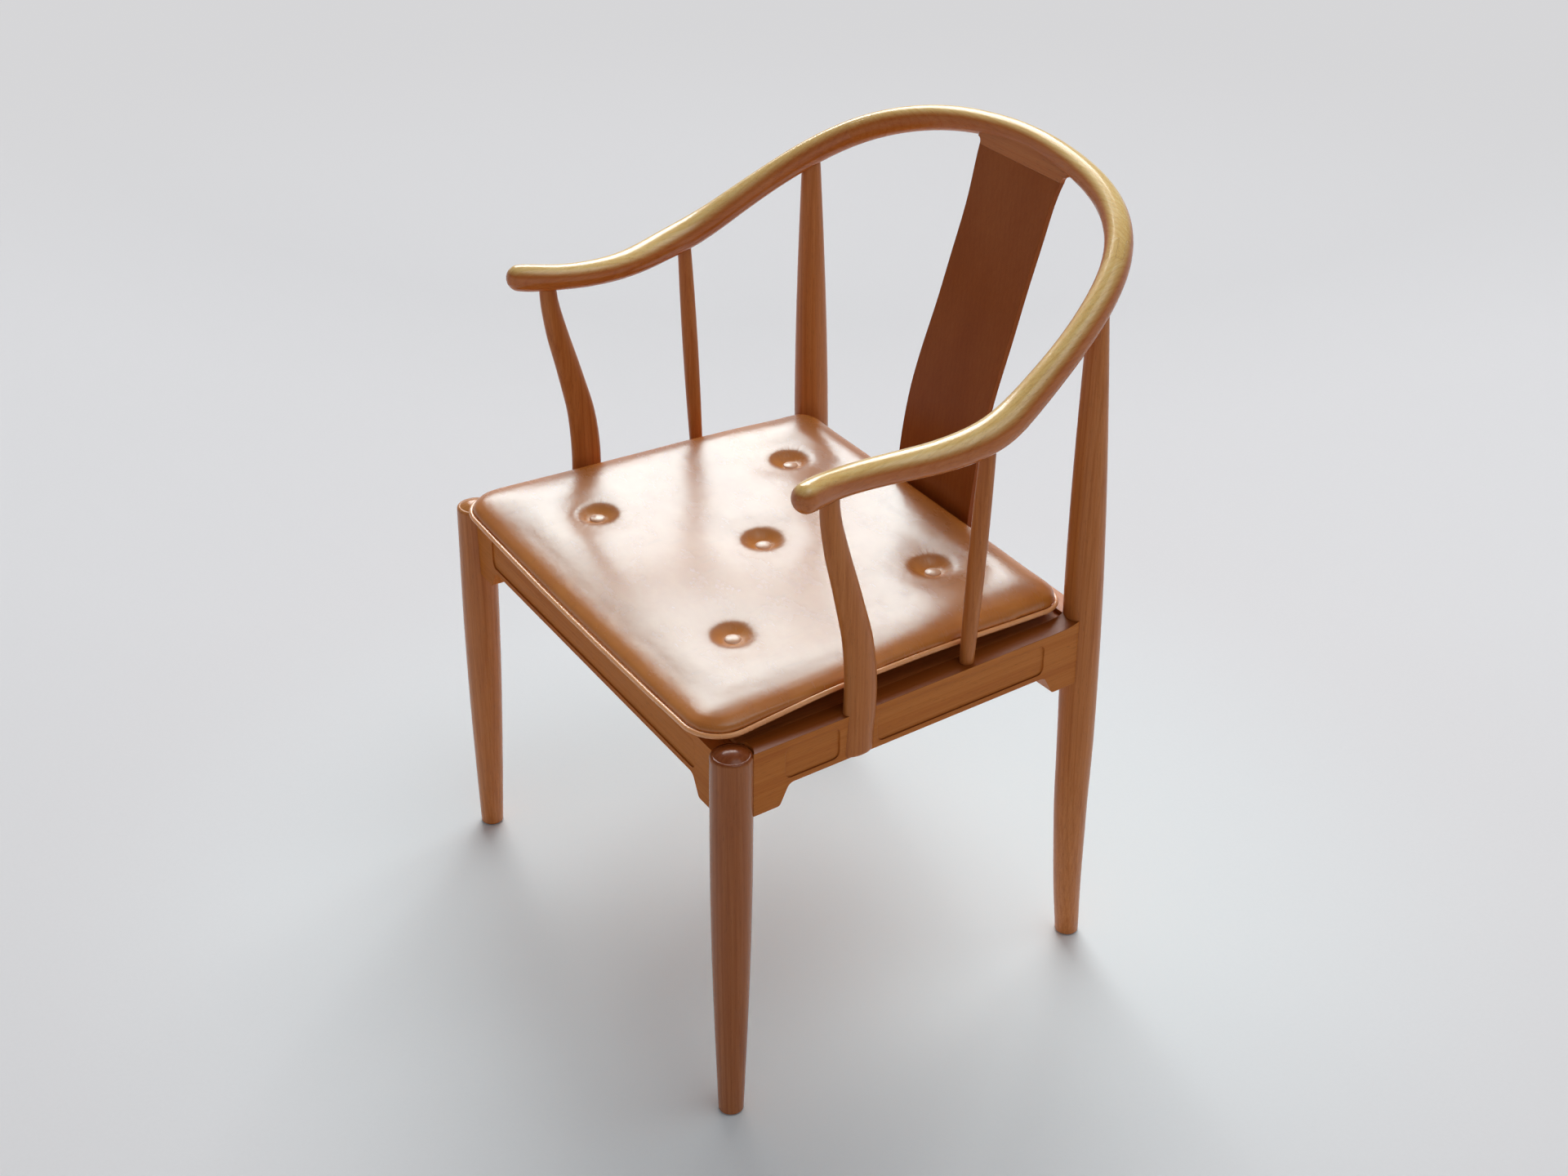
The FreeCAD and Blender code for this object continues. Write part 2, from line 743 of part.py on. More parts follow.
def set_back(points, depth):
    # The same line of points, moved back square to the splat's face.
    curve = spline_through(points)
    moved = []
    for point in points:
        tangent = curve.tangent(curve.parameter(point))[0]
        normal = Vec(0, tangent.z, -tangent.y)
        moved.append(point.add(normal.multiply(depth)))
    return moved


def board_between(front, back, half_width):
    edges = [spline_through(front).toShape() if len(front) > 2
             else Part.LineSegment(*front).toShape(),
             Part.LineSegment(front[-1], back[-1]).toShape(),
             spline_through(back).toShape() if len(back) > 2
             else Part.LineSegment(*back).toShape(),
             Part.LineSegment(back[0], front[0]).toShape()]
    face = Part.Face(Part.Wire(Part.__sortEdges__(edges)))
    face.translate(Vec(-half_width, 0, 0))
    return face.extrude(Vec(2 * half_width, 0, 0))


def splat_outline():
    depth = 2 * (splat_top_y - splat_foot_y) + splat_thickness
    right = [Vec(splat_width / 2 * width, splat_foot_y - depth / 2,
                 between(splat_foot_z, splat_top_z, row))
             for width, row in zip(splat_width_shares, splat_row_shares)]
    left = [Vec(-point.x, point.y, point.z) for point in right]
    margin = Vec(0, 0, splat_thickness)
    edges = [spline_through(right).toShape(), spline_through(left).toShape()]
    corners = [right[0], right[0].sub(margin), left[0].sub(margin), left[0]]
    for index in range(len(corners) - 1):
        edges.append(Part.LineSegment(corners[index], corners[index + 1]).toShape())
    corners = [right[-1], right[-1].add(margin), left[-1].add(margin), left[-1]]
    for index in range(len(corners) - 1):
        edges.append(Part.LineSegment(corners[index], corners[index + 1]).toShape())
    face = Part.Face(Part.Wire(Part.__sortEdges__(edges)))
    return face.extrude(Vec(0, 2 * depth, 0))


def splat_tongue(gap, at_top):
    # Tongue at the splat's upper or lower edge, in the middle of its thickness.
    points = splat_front_points()
    cheek = (splat_thickness - splat_tongue_thickness) / 2
    front = set_back(points, cheek - gap)
    back = set_back(points, splat_thickness - cheek + gap)
    if at_top:
        ends = (front[-1], back[-1])
        direction = points[-1].sub(points[-2]).normalize()
        half = splat_width / 2 - splat_tongue_margin + gap
    else:
        ends = (front[0], back[0])
        direction = points[0].sub(points[1]).normalize()
        half = splat_width / 2 * splat_width_shares[0] - splat_tongue_margin + gap
    inner = [end.sub(Vec(direction).multiply(overrun)) for end in ends]
    outer = [end.add(Vec(direction).multiply(splat_tongue_height + gap)) for end in ends]
    return board_between([inner[0], outer[0]], [inner[1], outer[1]], half)


def make_splat():
    front = splat_front_points()
    board = board_between(front, set_back(front, splat_thickness), splat_width)
    board = board.common(splat_outline()).cut(all_below(splat_foot_z))
    return board.fuse([splat_tongue(0, True), splat_tongue(0, False)])


# The crest widens downwards into a short plate that meets the splat.

def crest_plate():
    points = splat_front_points()
    front_foot = points[-1]
    back_foot = set_back(points, splat_thickness)[-1]
    climb = front_foot.sub(points[-2])
    climb.multiply(crest_plate_height / climb.z)
    board = board_between([front_foot, front_foot.add(climb)],
                          [back_foot, back_foot.add(climb)], splat_width)
    low = back_foot.z - overrun
    half = splat_width / 2
    wide = half + crest_flare_radius
    start_z = splat_top_z + crest_flare_start
    turn = crest_flare_radius * (1 - math.sin(math.pi / 4))
    top_z = splat_top_z + crest_plate_height + overrun
    y = front_foot.y - splat_thickness
    edges = []
    for side in (-1, 1):
        foot = Vec(side * half, y, low)
        bend = Vec(side * half, y, start_z)
        middle = Vec(side * (half + turn), y, start_z + crest_flare_radius - turn)
        spread = Vec(side * wide, y, start_z + crest_flare_radius)
        edges += [Part.LineSegment(foot, bend).toShape(), Part.Arc(bend, middle, spread).toShape(),
                  Part.LineSegment(spread, Vec(spread.x, y, top_z)).toShape()]
    edges.append(Part.LineSegment(Vec(-half, y, low), Vec(half, y, low)).toShape())
    edges.append(Part.LineSegment(Vec(-wide, y, top_z), Vec(wide, y, top_z)).toShape())
    outline = Part.Face(Part.Wire(Part.__sortEdges__(edges)))
    return board.common(outline.extrude(Vec(0, 4 * splat_thickness, 0)))


# Seat panel, ledges and corner blocks inside the rails

def inner_corner(first, first_depth, second, second_depth):
    # Where lines parallel to two rails' outer faces meet, seen from above.
    a = first.point(0, 0, first_depth)
    b = second.point(0, 0, second_depth)
    d = first.along
    e = second.along
    u = ((b.x - a.x) * e.y - (b.y - a.y) * e.x) / (d.x * e.y - d.y * e.x)
    return a.add(Vec(d).multiply(u))


def leg_wells(radius, z_low, z_high):
    centres = [front_leg_axis()[1], rear_leg_centre(side_rail_top_z)]
    wells = []
    for centre in centres:
        for side in (-1, 1):
            wells.append(Part.makeCylinder(radius, z_high - z_low,
                                           Vec(side * centre.x, centre.y, z_low)))
    return wells


def ring_plate(inset, z_low, z_high):
    # Plate that fills the space inside the rails, less an inset all round.
    depth = rail_thickness + inset
    front = inner_corner(side_line(), depth, front_line(), depth)
    rear = inner_corner(side_line(), depth, rear_line(), depth)
    corners = [Vec(front.x, front.y, z_low), Vec(rear.x, rear.y, z_low),
               Vec(-rear.x, rear.y, z_low), Vec(-front.x, front.y, z_low)]
    face = Part.Face(Part.makePolygon(corners + corners[:1]))
    return face.extrude(Vec(0, 0, z_high - z_low))


def seat_panel_top():
    return side_rail_top_z - seat_panel_sink


def ledge_top():
    return seat_panel_top() - seat_panel_thickness


def make_seat_panel():
    top = seat_panel_top()
    plate = ring_plate(seat_panel_gap, ledge_top(), top)
    return plate.cut(leg_wells(leg_full_radius + seat_panel_leg_gap,
                               ledge_top() - overrun, top + overrun))


def make_ledges():
    low = ledge_top() - ledge_height
    ring = ring_plate(0, low, ledge_top()).cut(ring_plate(ledge_width, low - overrun,
                                                         ledge_top() + overrun))
    ring = ring.cut(leg_wells(leg_full_radius + seat_panel_leg_gap,
                              low - overrun, ledge_top() + overrun))
    # Front and rear ledges run through; the side ledges butt against them.
    span = 4 * (bow_half_span + overrun)
    front_inner = front_rail_face_y + rail_thickness + ledge_width
    rear_inner = rear_rail_face_y - rail_thickness - ledge_width
    tall = Vec(0, 0, low - overrun)
    high = ledge_height + 2 * overrun
    front_half = Part.makeBox(span, span, high, tall.add(Vec(-span / 2, front_inner - span, 0)))
    rear_half = Part.makeBox(span, span, high, tall.add(Vec(-span / 2, rear_inner, 0)))
    front = largest(ring.common(front_half))
    rear = largest(ring.common(rear_half))
    sides = ring.cut([front_half, rear_half]).Solids
    left = max(sides, key=lambda solid: solid.CenterOfMass.x)
    right = min(sides, key=lambda solid: solid.CenterOfMass.x)
    return front, rear, left, right


def make_corner_block(cross_line):
    # Triangular block in the corner of the side rail and a cross rail.
    side = side_line()
    corner = inner_corner(side, rail_thickness, cross_line, rail_thickness)
    low = ledge_top() - ledge_height - block_height
    inwards = 1 if corner.y < 0 else -1
    along_side = Vec(side.along).multiply(inwards * block_leg)
    along_cross = Vec(-block_leg, 0, 0)
    corners = [Vec(corner.x, corner.y, low), corner.add(along_side).add(Vec(0, 0, low)),
               corner.add(along_cross).add(Vec(0, 0, low))]
    block = Part.Face(Part.makePolygon(corners + corners[:1])).extrude(Vec(0, 0, block_height))
    wells = leg_wells(leg_full_radius + block_leg_gap, low - overrun,
                      low + block_height + overrun)
    return block.cut(wells), corner, inwards


def make_screw(place, direction, length, gap):
    # Round headed screw; place is the middle of the head's outer face.
    head = Part.makeCylinder(screw_head_radius + gap, screw_head_height + gap, place, direction)
    shank = Part.makeCylinder(screw_shank_radius + gap, length + gap, place, direction)
    return head.fuse(shank)


def block_screws(corner, inwards, gap, clear_run):
    # One screw into each rail, in a wide bore sunk from the block's long face.
    side = side_line()
    z = ledge_top() - ledge_height - block_height / 2
    outwards_side = side.inward.negative()
    outwards_cross = Vec(0, -inwards, 0)
    feet = [(corner.add(Vec(side.along).multiply(inwards * block_screw_place)), outwards_side),
            (corner.add(Vec(-block_screw_place, 0, 0)), outwards_cross)]
    screws = []
    for foot, outwards in feet:
        place = Vec(foot.x, foot.y, z).sub(Vec(outwards).multiply(block_screw_seat
                                                                   + screw_head_height))
        screws.append(make_screw(place, outwards, block_screw_length, gap))
        if clear_run:
            back = place.sub(Vec(outwards).multiply(clear_run))
            screws.append(Part.makeCylinder(screw_head_radius + gap, clear_run, back, outwards))
    return screws


def post_screws(gap):
    line = side_line()
    post_u = arm_post_foot_y - line.start.y
    screws = []
    for side in (-0.5, 0.5):
        place = line.point(post_u + side * post_screw_spacing, line.bottom_z + post_screw_rise,
                           rail_thickness)
        screws.append(make_screw(place, line.inward.negative(), post_screw_length, gap))
    return screws


# Seat cushion: a crowned pad with drawn-in sides, piping at its seam and
# five sewn tufts, each with a button above and a smaller disc below.

def cushion_corners(inset):
    # Rounded trapezoid, seen from above, drawn in by an inset all round.
    slope = (cushion_front_half - cushion_rear_half) / (cushion_rear_y - cushion_front_y)
    lean = math.sqrt(1 + slope ** 2)
    front_y = cushion_front_y + inset
    rear_y = cushion_rear_y - inset
    front_half = cushion_front_half - slope * inset - inset * lean
    rear_half = cushion_rear_half + slope * inset - inset * lean
    return [Vec(front_half, front_y, 0), Vec(rear_half, rear_y, 0),
            Vec(-rear_half, rear_y, 0), Vec(-front_half, front_y, 0)]


def cushion_edges(inset, z):
    corners = cushion_corners(inset)
    front_round = max(cushion_front_round - inset, cushion_front_round * cushion_least_round_share)
    rear_round = max(cushion_rear_round - inset, cushion_rear_round * cushion_least_round_share)
    rounds = [front_round, rear_round, rear_round, front_round]
    ends = []
    for i, corner in enumerate(corners):
        before = corners[i - 1].sub(corner).normalize()
        after = corners[(i + 1) % len(corners)].sub(corner).normalize()
        half_angle = before.getAngle(after) / 2
        setback = rounds[i] / math.tan(half_angle)
        bisector = before.add(after).normalize()
        centre = corner.add(Vec(bisector).multiply(rounds[i] / math.sin(half_angle)))
        start = corner.add(Vec(before).multiply(setback))
        end = corner.add(Vec(after).multiply(setback))
        middle = centre.sub(Vec(bisector).multiply(rounds[i]))
        ends.append((start, middle, end))
    lift = Vec(0, 0, z)
    edges = []
    for i, (start, middle, end) in enumerate(ends):
        following = ends[(i + 1) % len(ends)][0]
        edges.append(Part.Arc(start.add(lift), middle.add(lift), end.add(lift)).toShape())
        edges.append(Part.LineSegment(end.add(lift), following.add(lift)).toShape())
    return edges


def cushion_rest_z():
    return seat_panel_top() + cushion_gap


def make_piping(gap):
    # Cord round the seam: tubes along the straights and rings at the corners.
    radius = piping_radius + gap
    solids = []
    for edge in cushion_edges(0, cushion_seam_z):
        start = edge.valueAt(edge.FirstParameter)
        tangent = edge.tangentAt(edge.FirstParameter)
        disc = Part.Face(Part.Wire(Part.makeCircle(radius, start, tangent)))
        if isinstance(edge.Curve, Part.Circle):
            turn = edge.Curve
            span = math.degrees(edge.LastParameter - edge.FirstParameter)
            solids.append(disc.revolve(turn.Center, turn.Axis, span))
        else:
            solids.append(disc.extrude(Vec(tangent).multiply(edge.Length)))
    cord = solids[0].fuse(solids[1:])
    return largest(cord)


def button_places():
    return [(button_front_x, button_front_y), (-button_front_x, button_front_y),
            (button_rear_x, button_rear_y), (-button_rear_x, button_rear_y),
            (0, button_middle_y)]


def button_foot_z():
    return button_top_z - button_height


def make_button(x, y):
    # Domed top on a short disc.
    dome = button_height / 2
    radius = (button_radius ** 2 + dome ** 2) / (2 * dome)
    disc = Part.makeCylinder(button_radius, button_height, Vec(x, y, button_foot_z()))
    ball = Part.makeSphere(radius, Vec(x, y, button_top_z - radius))
    return disc.common(ball)


def make_back_button(x, y):
    return Part.makeCylinder(button_radius, back_button_thickness, Vec(x, y, cushion_rest_z()))


def make_tuft_cord(x, y, gap):
    low = cushion_rest_z() + back_button_thickness
    return Part.makeCylinder(tuft_cord_radius + gap, button_foot_z() - low, Vec(x, y, low))


def tuft_space(x, y):
    # Everything that a tuft takes out of the pad: dimple, button, cord and disc.
    floor_z = button_top_z - dimple_floor_drop
    depth = cushion_crown_z - floor_z
    radius = (dimple_radius ** 2 + depth ** 2) / (2 * depth)
    dimple = Part.makeSphere(radius, Vec(x, y, floor_z + radius))
    seat = Part.makeCylinder(button_radius + cushion_gap, button_height,
                             Vec(x, y, button_foot_z()))
    under = Part.makeCylinder(button_radius + cushion_gap, back_button_thickness + overrun,
                              Vec(x, y, cushion_rest_z() - overrun))
    return [dimple, seat, under, make_tuft_cord(x, y, cushion_gap)]


def make_cushion_body():
    low_z = cushion_rest_z()
    wires = []
    for height, inset in zip(cushion_low_height_shares, cushion_low_inset_shares):
        z = between(low_z, cushion_seam_z, height)
        wires.append(Part.Wire(cushion_edges(cushion_inset_span * inset, z)))
    for height, inset in zip(cushion_high_height_shares, cushion_high_inset_shares):
        z = between(cushion_seam_z, cushion_crown_z, height)
        wires.append(Part.Wire(cushion_edges(cushion_inset_span * inset, z)))
    pad = Part.makeLoft(wires, True, True)
    cuts = [make_piping(cushion_gap)]
    for x, y in button_places():
        cuts += tuft_space(x, y)
    return largest(pad.cut(cuts))


def make_glides():
    places = [front_leg_axis()[0], rear_leg_centre(0)]
    glides = []
    for place in places:
        for side in (-1, 1):
            glides.append(Part.makeCylinder(glide_radius, glide_height,
                                            Vec(side * place.x, place.y, 0)))
    return Part.makeCompound(glides)


def both_sides(shapes):
    return shapes + [mirrored(shape) for shape in shapes]


def build():
    bow = make_bow()
    post = make_arm_post_blank()
    spindle = make_spindle_blank()
    rear_leg = make_rear_leg(rear_head().z)
    envelopes = both_sides([make_front_leg(True), rear_leg])

    # Seat frame, with its blocks and screws
    block_front, corner_front, inwards_front = make_corner_block(front_line())
    block_rear, corner_rear, inwards_rear = make_corner_block(rear_line())
    screws = block_screws(corner_front, inwards_front, 0, 0)
    screws += block_screws(corner_rear, inwards_rear, 0, 0)
    screw_space = block_screws(corner_front, inwards_front, screw_gap, block_leg)
    screw_space += block_screws(corner_rear, inwards_rear, screw_gap, block_leg)
    frame_space = both_sides(screw_space)
    blocks = [block_front.cut(screw_space), block_rear.cut(screw_space)]
    for name, block in zip(("front", "rear"), blocks):
        export(largest(block), "corner_block_" + name + "_left")
        export(mirrored(largest(block)), "corner_block_" + name + "_right")
    export(Part.makeCompound(both_sides(screws)), "block_screws")
    export(Part.makeCompound(both_sides(post_screws(0))), "arm_post_screws")

    tongue_space = splat_tongue(tenon_gap, False)
    front_rail = make_cross_rail(front_line(), envelopes)
    export(largest(front_rail.cut(frame_space)), "front_rail")
    rear_rail = make_cross_rail(rear_line(), envelopes)
    export(largest(rear_rail.cut(frame_space + [tongue_space])), "rear_rail")
    side_rail = make_side_rail(envelopes)
    side_cuts = screw_space + post_screws(screw_gap) + [post, spindle_tenons(tenon_gap)[0]]
    side_rail = largest(side_rail.cut(side_cuts))
    export(side_rail, "side_rail_left")
    export(mirrored(side_rail), "side_rail_right")

    # Legs
    side_mortises = rail_tenons(side_line(), tenon_depth, tenon_gap)
    front_mortise = rail_tenons(front_line(), cross_tenon_depth, tenon_gap)[0]
    rear_mortise = rail_tenons(rear_line(), cross_tenon_depth, tenon_gap)[0]
    front_leg = largest(make_front_leg(False).cut([side_mortises[0], front_mortise]))
    export(front_leg, "front_leg_left")
    export(mirrored(front_leg), "front_leg_right")
    post_leg = largest(rear_leg.cut([side_mortises[1], rear_mortise, bow]))
    post_leg = post_leg.fuse(rear_leg_tenon(0))
    export(post_leg, "rear_leg_left")
    export(mirrored(post_leg), "rear_leg_right")

    # Posts and spindles under the arms
    arm_post = largest(post.cut([bow] + post_screws(screw_gap))).fuse(arm_post_tenon(0))
    export(arm_post, "arm_post_left")
    export(mirrored(arm_post), "arm_post_right")
    arm_spindle = largest(spindle.cut(bow)).fuse(spindle_tenons(0))
    export(arm_spindle, "arm_spindle_left")
    export(mirrored(arm_spindle), "arm_spindle_right")

    # Bow and splat
    arm, crest = split_bow(bow)
    sockets = [arm_post_tenon(tenon_gap), rear_leg_tenon(tenon_gap),
               spindle_tenons(tenon_gap)[1]]
    arm = largest(arm.cut(sockets))
    export(arm, "arm_rail_left")
    export(mirrored(arm), "arm_rail_right")
    crest = crest.fuse(crest_plate()).cut(splat_tongue(tenon_gap, True))
    export(largest(crest), "crest_rail")
    export(make_splat(), "back_splat")

    # Seat panel and ledges
    export(make_seat_panel(), "seat_panel")
    for name, ledge in zip(("front", "rear", "left", "right"), make_ledges()):
        export(ledge, "seat_ledge_" + name)
    export(make_glides(), "foot_glides")

    # Cushion
    export(make_cushion_body(), "cushion_body")
    export(make_piping(0), "cushion_piping")
    places = button_places()
    export(Part.makeCompound([make_button(x, y) for x, y in places]), "cushion_buttons")
    export(Part.makeCompound([make_back_button(x, y) for x, y in places]),
           "cushion_back_buttons")
    export(Part.makeCompound([make_tuft_cord(x, y, 0) for x, y in places]), "tuft_cords")


build()
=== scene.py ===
import math

import bmesh
import bpy
from mathutils import Matrix, Vector, noise


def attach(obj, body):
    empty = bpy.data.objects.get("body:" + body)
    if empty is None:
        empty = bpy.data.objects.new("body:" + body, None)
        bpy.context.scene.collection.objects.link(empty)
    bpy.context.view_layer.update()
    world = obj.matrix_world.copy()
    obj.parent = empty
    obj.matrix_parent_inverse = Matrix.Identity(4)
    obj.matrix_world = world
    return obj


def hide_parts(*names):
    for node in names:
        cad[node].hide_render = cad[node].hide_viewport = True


# Horseshoe back armchair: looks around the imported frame. Metres, front towards -Y.

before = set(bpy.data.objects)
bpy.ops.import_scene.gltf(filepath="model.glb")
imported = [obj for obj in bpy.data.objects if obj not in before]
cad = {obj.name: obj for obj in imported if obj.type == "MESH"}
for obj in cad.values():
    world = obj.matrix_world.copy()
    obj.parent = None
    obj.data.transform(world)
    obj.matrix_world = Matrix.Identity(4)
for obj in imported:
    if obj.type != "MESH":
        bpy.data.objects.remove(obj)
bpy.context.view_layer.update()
scene = bpy.context.scene

# Cushion sizes, the same as in the solids
FRONT_HALF = 0.2626
REAR_HALF = 0.2364
FRONT_Y = -0.2704
REAR_Y = 0.1504
FRONT_ROUND = 0.038
REAR_ROUND = 0.030
SEAM_Z = 0.428
REST_Z = 0.4148
TOP_Z = 0.4505
BUTTONS = [(0.1377, -0.170), (-0.1377, -0.170), (0.1336, 0.062), (-0.1336, 0.062), (0.0, -0.053)]

# Cushion sizes of the scene alone: the tufts lie 3 mm higher than in the solids
BUTTON_TOP = 0.4415
PIPING_RADIUS = 0.0025
PIPING_PROUD = 0.0007
FRONT_SAG = 0.005
SEAM_RISE = 0.0085
BOWL_DEPTH = 0.0015
BOWL_REACH = 0.060
WELL_BELOW_BUTTON = 0.0031
WELL_FLOOR_REACH = 0.0070
WELL_SLOPE = 0.0165
VOXEL = 0.005
PUFF_LIMIT = 0.0026
PUFF_SMOOTHING = 14
PUFF_FRAMES = 20

# Seat frame seen from above: half widths outside the side rails, and the run between them
RAIL_FRONT_X = 0.2847
RAIL_REAR_X = 0.2604
RAIL_RUN = 0.4258

# The photograph's camera
CAMERA_PLACE = (1.64211, -1.03909, 1.53618)
CAMERA_YAW = 58.393
CAMERA_PITCH = 30.915
CAMERA_LENS = 50.06


# Materials

def put(tree, kind, inputs=None, **settings):
    made = tree.nodes.new(kind)
    for key, value in settings.items():
        setattr(made, key, value)
    for key, value in (inputs or {}).items():
        socket = made.inputs[key]
        if isinstance(value, bpy.types.NodeSocket):
            tree.links.new(value, socket)
        else:
            socket.default_value = value
    return made


def new_material(name):
    material = bpy.data.materials.new(name)
    material.use_nodes = True
    tree = material.node_tree
    tree.nodes.clear()
    shader = put(tree, "ShaderNodeBsdfPrincipled")
    output = put(tree, "ShaderNodeOutputMaterial")
    tree.links.new(shader.outputs["BSDF"], output.inputs["Surface"])
    return material, tree, shader


def math_node(tree, operation, a, b=0.0, c=0.0):
    return put(tree, "ShaderNodeMath", {0: a, 1: b, 2: c}, operation=operation).outputs[0]


def mix(tree, share, a, b, blend="MIX"):
    made = tree.nodes.new("ShaderNodeMix")
    made.data_type = "RGBA"
    made.blend_type = blend
    for index, value in ((0, share), (6, a), (7, b)):
        if isinstance(value, bpy.types.NodeSocket):
            tree.links.new(value, made.inputs[index])
        else:
            made.inputs[index].default_value = value
    return made.outputs[2]


def ramp(tree, factor, stops, smooth=False):
    made = put(tree, "ShaderNodeValToRGB", {"Fac": factor})
    made.color_ramp.interpolation = "EASE" if smooth else "LINEAR"
    elements = made.color_ramp.elements
    while len(elements) < len(stops):
        elements.new(0.5)
    for element, (place, value) in zip(elements, stops):
        element.position = place
        element.color = value if isinstance(value, tuple) else (value, value, value, 1)
    return made.outputs["Color"]


def noise_tex(tree, vector, scale, detail=2.0, rough=0.5, distortion=0.0):
    return put(tree, "ShaderNodeTexNoise", {"Vector": vector, "Scale": scale, "Detail": detail,
                                            "Roughness": rough,
                                            "Distortion": distortion}).outputs["Fac"]


def scaled(tree, vector, size, place=(0, 0, 0), turn=(0, 0, 0)):
    return put(tree, "ShaderNodeMapping", {"Vector": vector, "Scale": size, "Location": place,
                                           "Rotation": turn}).outputs[0]


def wood(name, grain, tones, pith, fleck=0.22, rough=0.30, shine=0.25, top=None, lines=1.0):
    """Straight grained, satin lacquered wood.

    grain is the direction of its fibres, pith the place of the tree's middle, fleck the depth of
    its dark flecks, lines the strength of its grain, and top a tint that paints light and shade
    on upward faces.
    """
    material, tree, shader = new_material(name)
    pale, middle, deep = tones
    place = put(tree, "ShaderNodeTexCoord").outputs["Object"]
    turn = Vector(grain).rotation_difference(Vector((0, 0, 1))).to_euler()
    along = scaled(tree, place, (1, 1, 1), turn=turn)
    rings_at = scaled(tree, along, (1, 1, 0.05), place=pith, turn=(0.012, 0.02, 0))
    rings = put(tree, "ShaderNodeTexWave",
                {"Vector": rings_at, "Scale": 62.0, "Distortion": 2.2, "Detail": 2.0,
                 "Detail Scale": 1.3, "Detail Roughness": 0.5},
                wave_type="RINGS", rings_direction="Z", wave_profile="SAW").outputs["Fac"]
    rings = ramp(tree, rings, [(0.0, 0.5), (0.2, 0.2), (0.7, 0.42), (0.94, 1.0), (1.0, 0.5)])
    cloud = noise_tex(tree, scaled(tree, along, (1, 1, 0.14)), 17.0, 3.0, 0.55)
    streak = noise_tex(tree, scaled(tree, along, (1, 1, 0.012)), 360.0, 3.0, 0.6)
    hair = noise_tex(tree, scaled(tree, along, (1, 1, 0.012)), 1700.0, 2.0, 0.6)
    share = math_node(tree, "MULTIPLY_ADD", rings, 0.28 * lines,
                      math_node(tree, "MULTIPLY", streak, lines))
    share = math_node(tree, "ADD", share,
                      math_node(tree, "MULTIPLY_ADD", cloud, 0.75, 0.04 - 0.64 * lines))
    tone = ramp(tree, share, [(0.12, pale), (0.46, middle), (0.88, deep)])
    marks = noise_tex(tree, scaled(tree, along, (1, 1, 0.07)), 1500.0, 1.0, 0.4)
    marks = ramp(tree, marks, [(0.64, 1.0), (0.74, 1.0 - fleck)])
    tone = mix(tree, 1.0, tone, marks, "MULTIPLY")
    fine = ramp(tree, hair, [(0.3, 0.93), (0.7, 1.05)])
    tone = mix(tree, 1.0, tone, fine, "MULTIPLY")
    soft = put(tree, "ShaderNodeBevel", {"Radius": 0.0008}, samples=4).outputs[0]
    # painted light and shade: faces that look up take the top tint
    if top:
        up = put(tree, "ShaderNodeSeparateXYZ", {"Vector": soft}).outputs["Z"]
        up = ramp(tree, up, [(0.4, 0.0), (0.9, 1.0)], True)
        tone = mix(tree, up, tone, mix(tree, 1.0, tone, top, "MULTIPLY"))
    tree.links.new(tone, shader.inputs["Base Color"])
    gloss = math_node(tree, "MULTIPLY_ADD", streak, 0.10, rough - 0.05)
    tree.links.new(gloss, shader.inputs["Roughness"])
    shader.inputs["Specular IOR Level"].default_value = shine
    relief = math_node(tree, "ADD", hair, math_node(tree, "MULTIPLY", streak, 0.8))
    bump = put(tree, "ShaderNodeBump", {"Height": relief, "Strength": 0.06, "Distance": 0.0002,
                                        "Normal": soft})
    tree.links.new(bump.outputs[0], shader.inputs["Normal"])
    return material


def colour(red, green, blue):
    return (red, green, blue, 1.0)


# Tints of the faces that look up: painted light and shade, set by how each face turns to the
# lamps
# painted light: the upward faces of the arms and crest are painted paler and golden
PAINTED_TOP_LIGHT = colour(1.74, 4.2, 9.6)
# painted shade: the side rails' tops are painted dark, as in the cushion's shadow
PAINTED_RAIL_SHADE = colour(0.40, 0.31, 0.25)
# painted light: the far front leg's domed top is painted paler
PAINTED_LIT_END = colour(1.10, 1.35, 1.50)
# end grain darkened, and painted shade as well: only the near front leg's domed top takes it
END_GRAIN_AND_SHADE = colour(0.62, 0.50, 0.45)
# Pale, middle and deep tones of each kind of wood
FRAME_TONES = (colour(0.59, 0.210, 0.058), colour(0.51, 0.162, 0.037), colour(0.40, 0.108, 0.021))
# painted shade: a darker copy of the frame tones for the near front leg
PAINTED_SHADE_LEG_TONES = (colour(0.44, 0.148, 0.041), colour(0.37, 0.107, 0.025), colour(0.29, 0.071, 0.014))
BOW_TONES = (colour(0.56, 0.175, 0.035), colour(0.50, 0.134, 0.020), colour(0.37, 0.084, 0.011))
SPLAT_TONES = (colour(0.40, 0.110, 0.021), colour(0.34, 0.082, 0.013), colour(0.27, 0.055, 0.008))
RAIL_TONES = (colour(0.58, 0.195, 0.040), colour(0.52, 0.160, 0.028), colour(0.43, 0.112, 0.018))
INNER_TONES = (colour(0.62, 0.42, 0.25), colour(0.54, 0.34, 0.19), colour(0.44, 0.26, 0.13))


# Tints of the leather, both painted: shade on the seat's rim, and light in the wells round its
# tufts
PLAIN = colour(1.0, 1.0, 1.0)
PAINTED_RIM_SHADE = colour(1.20, 1.10, 0.66)
PAINTED_WELL_LIGHT = colour(1.35, 1.35, 0.85)
LEATHER_GLOSS = colour(0.60, 0.94, 1.0)


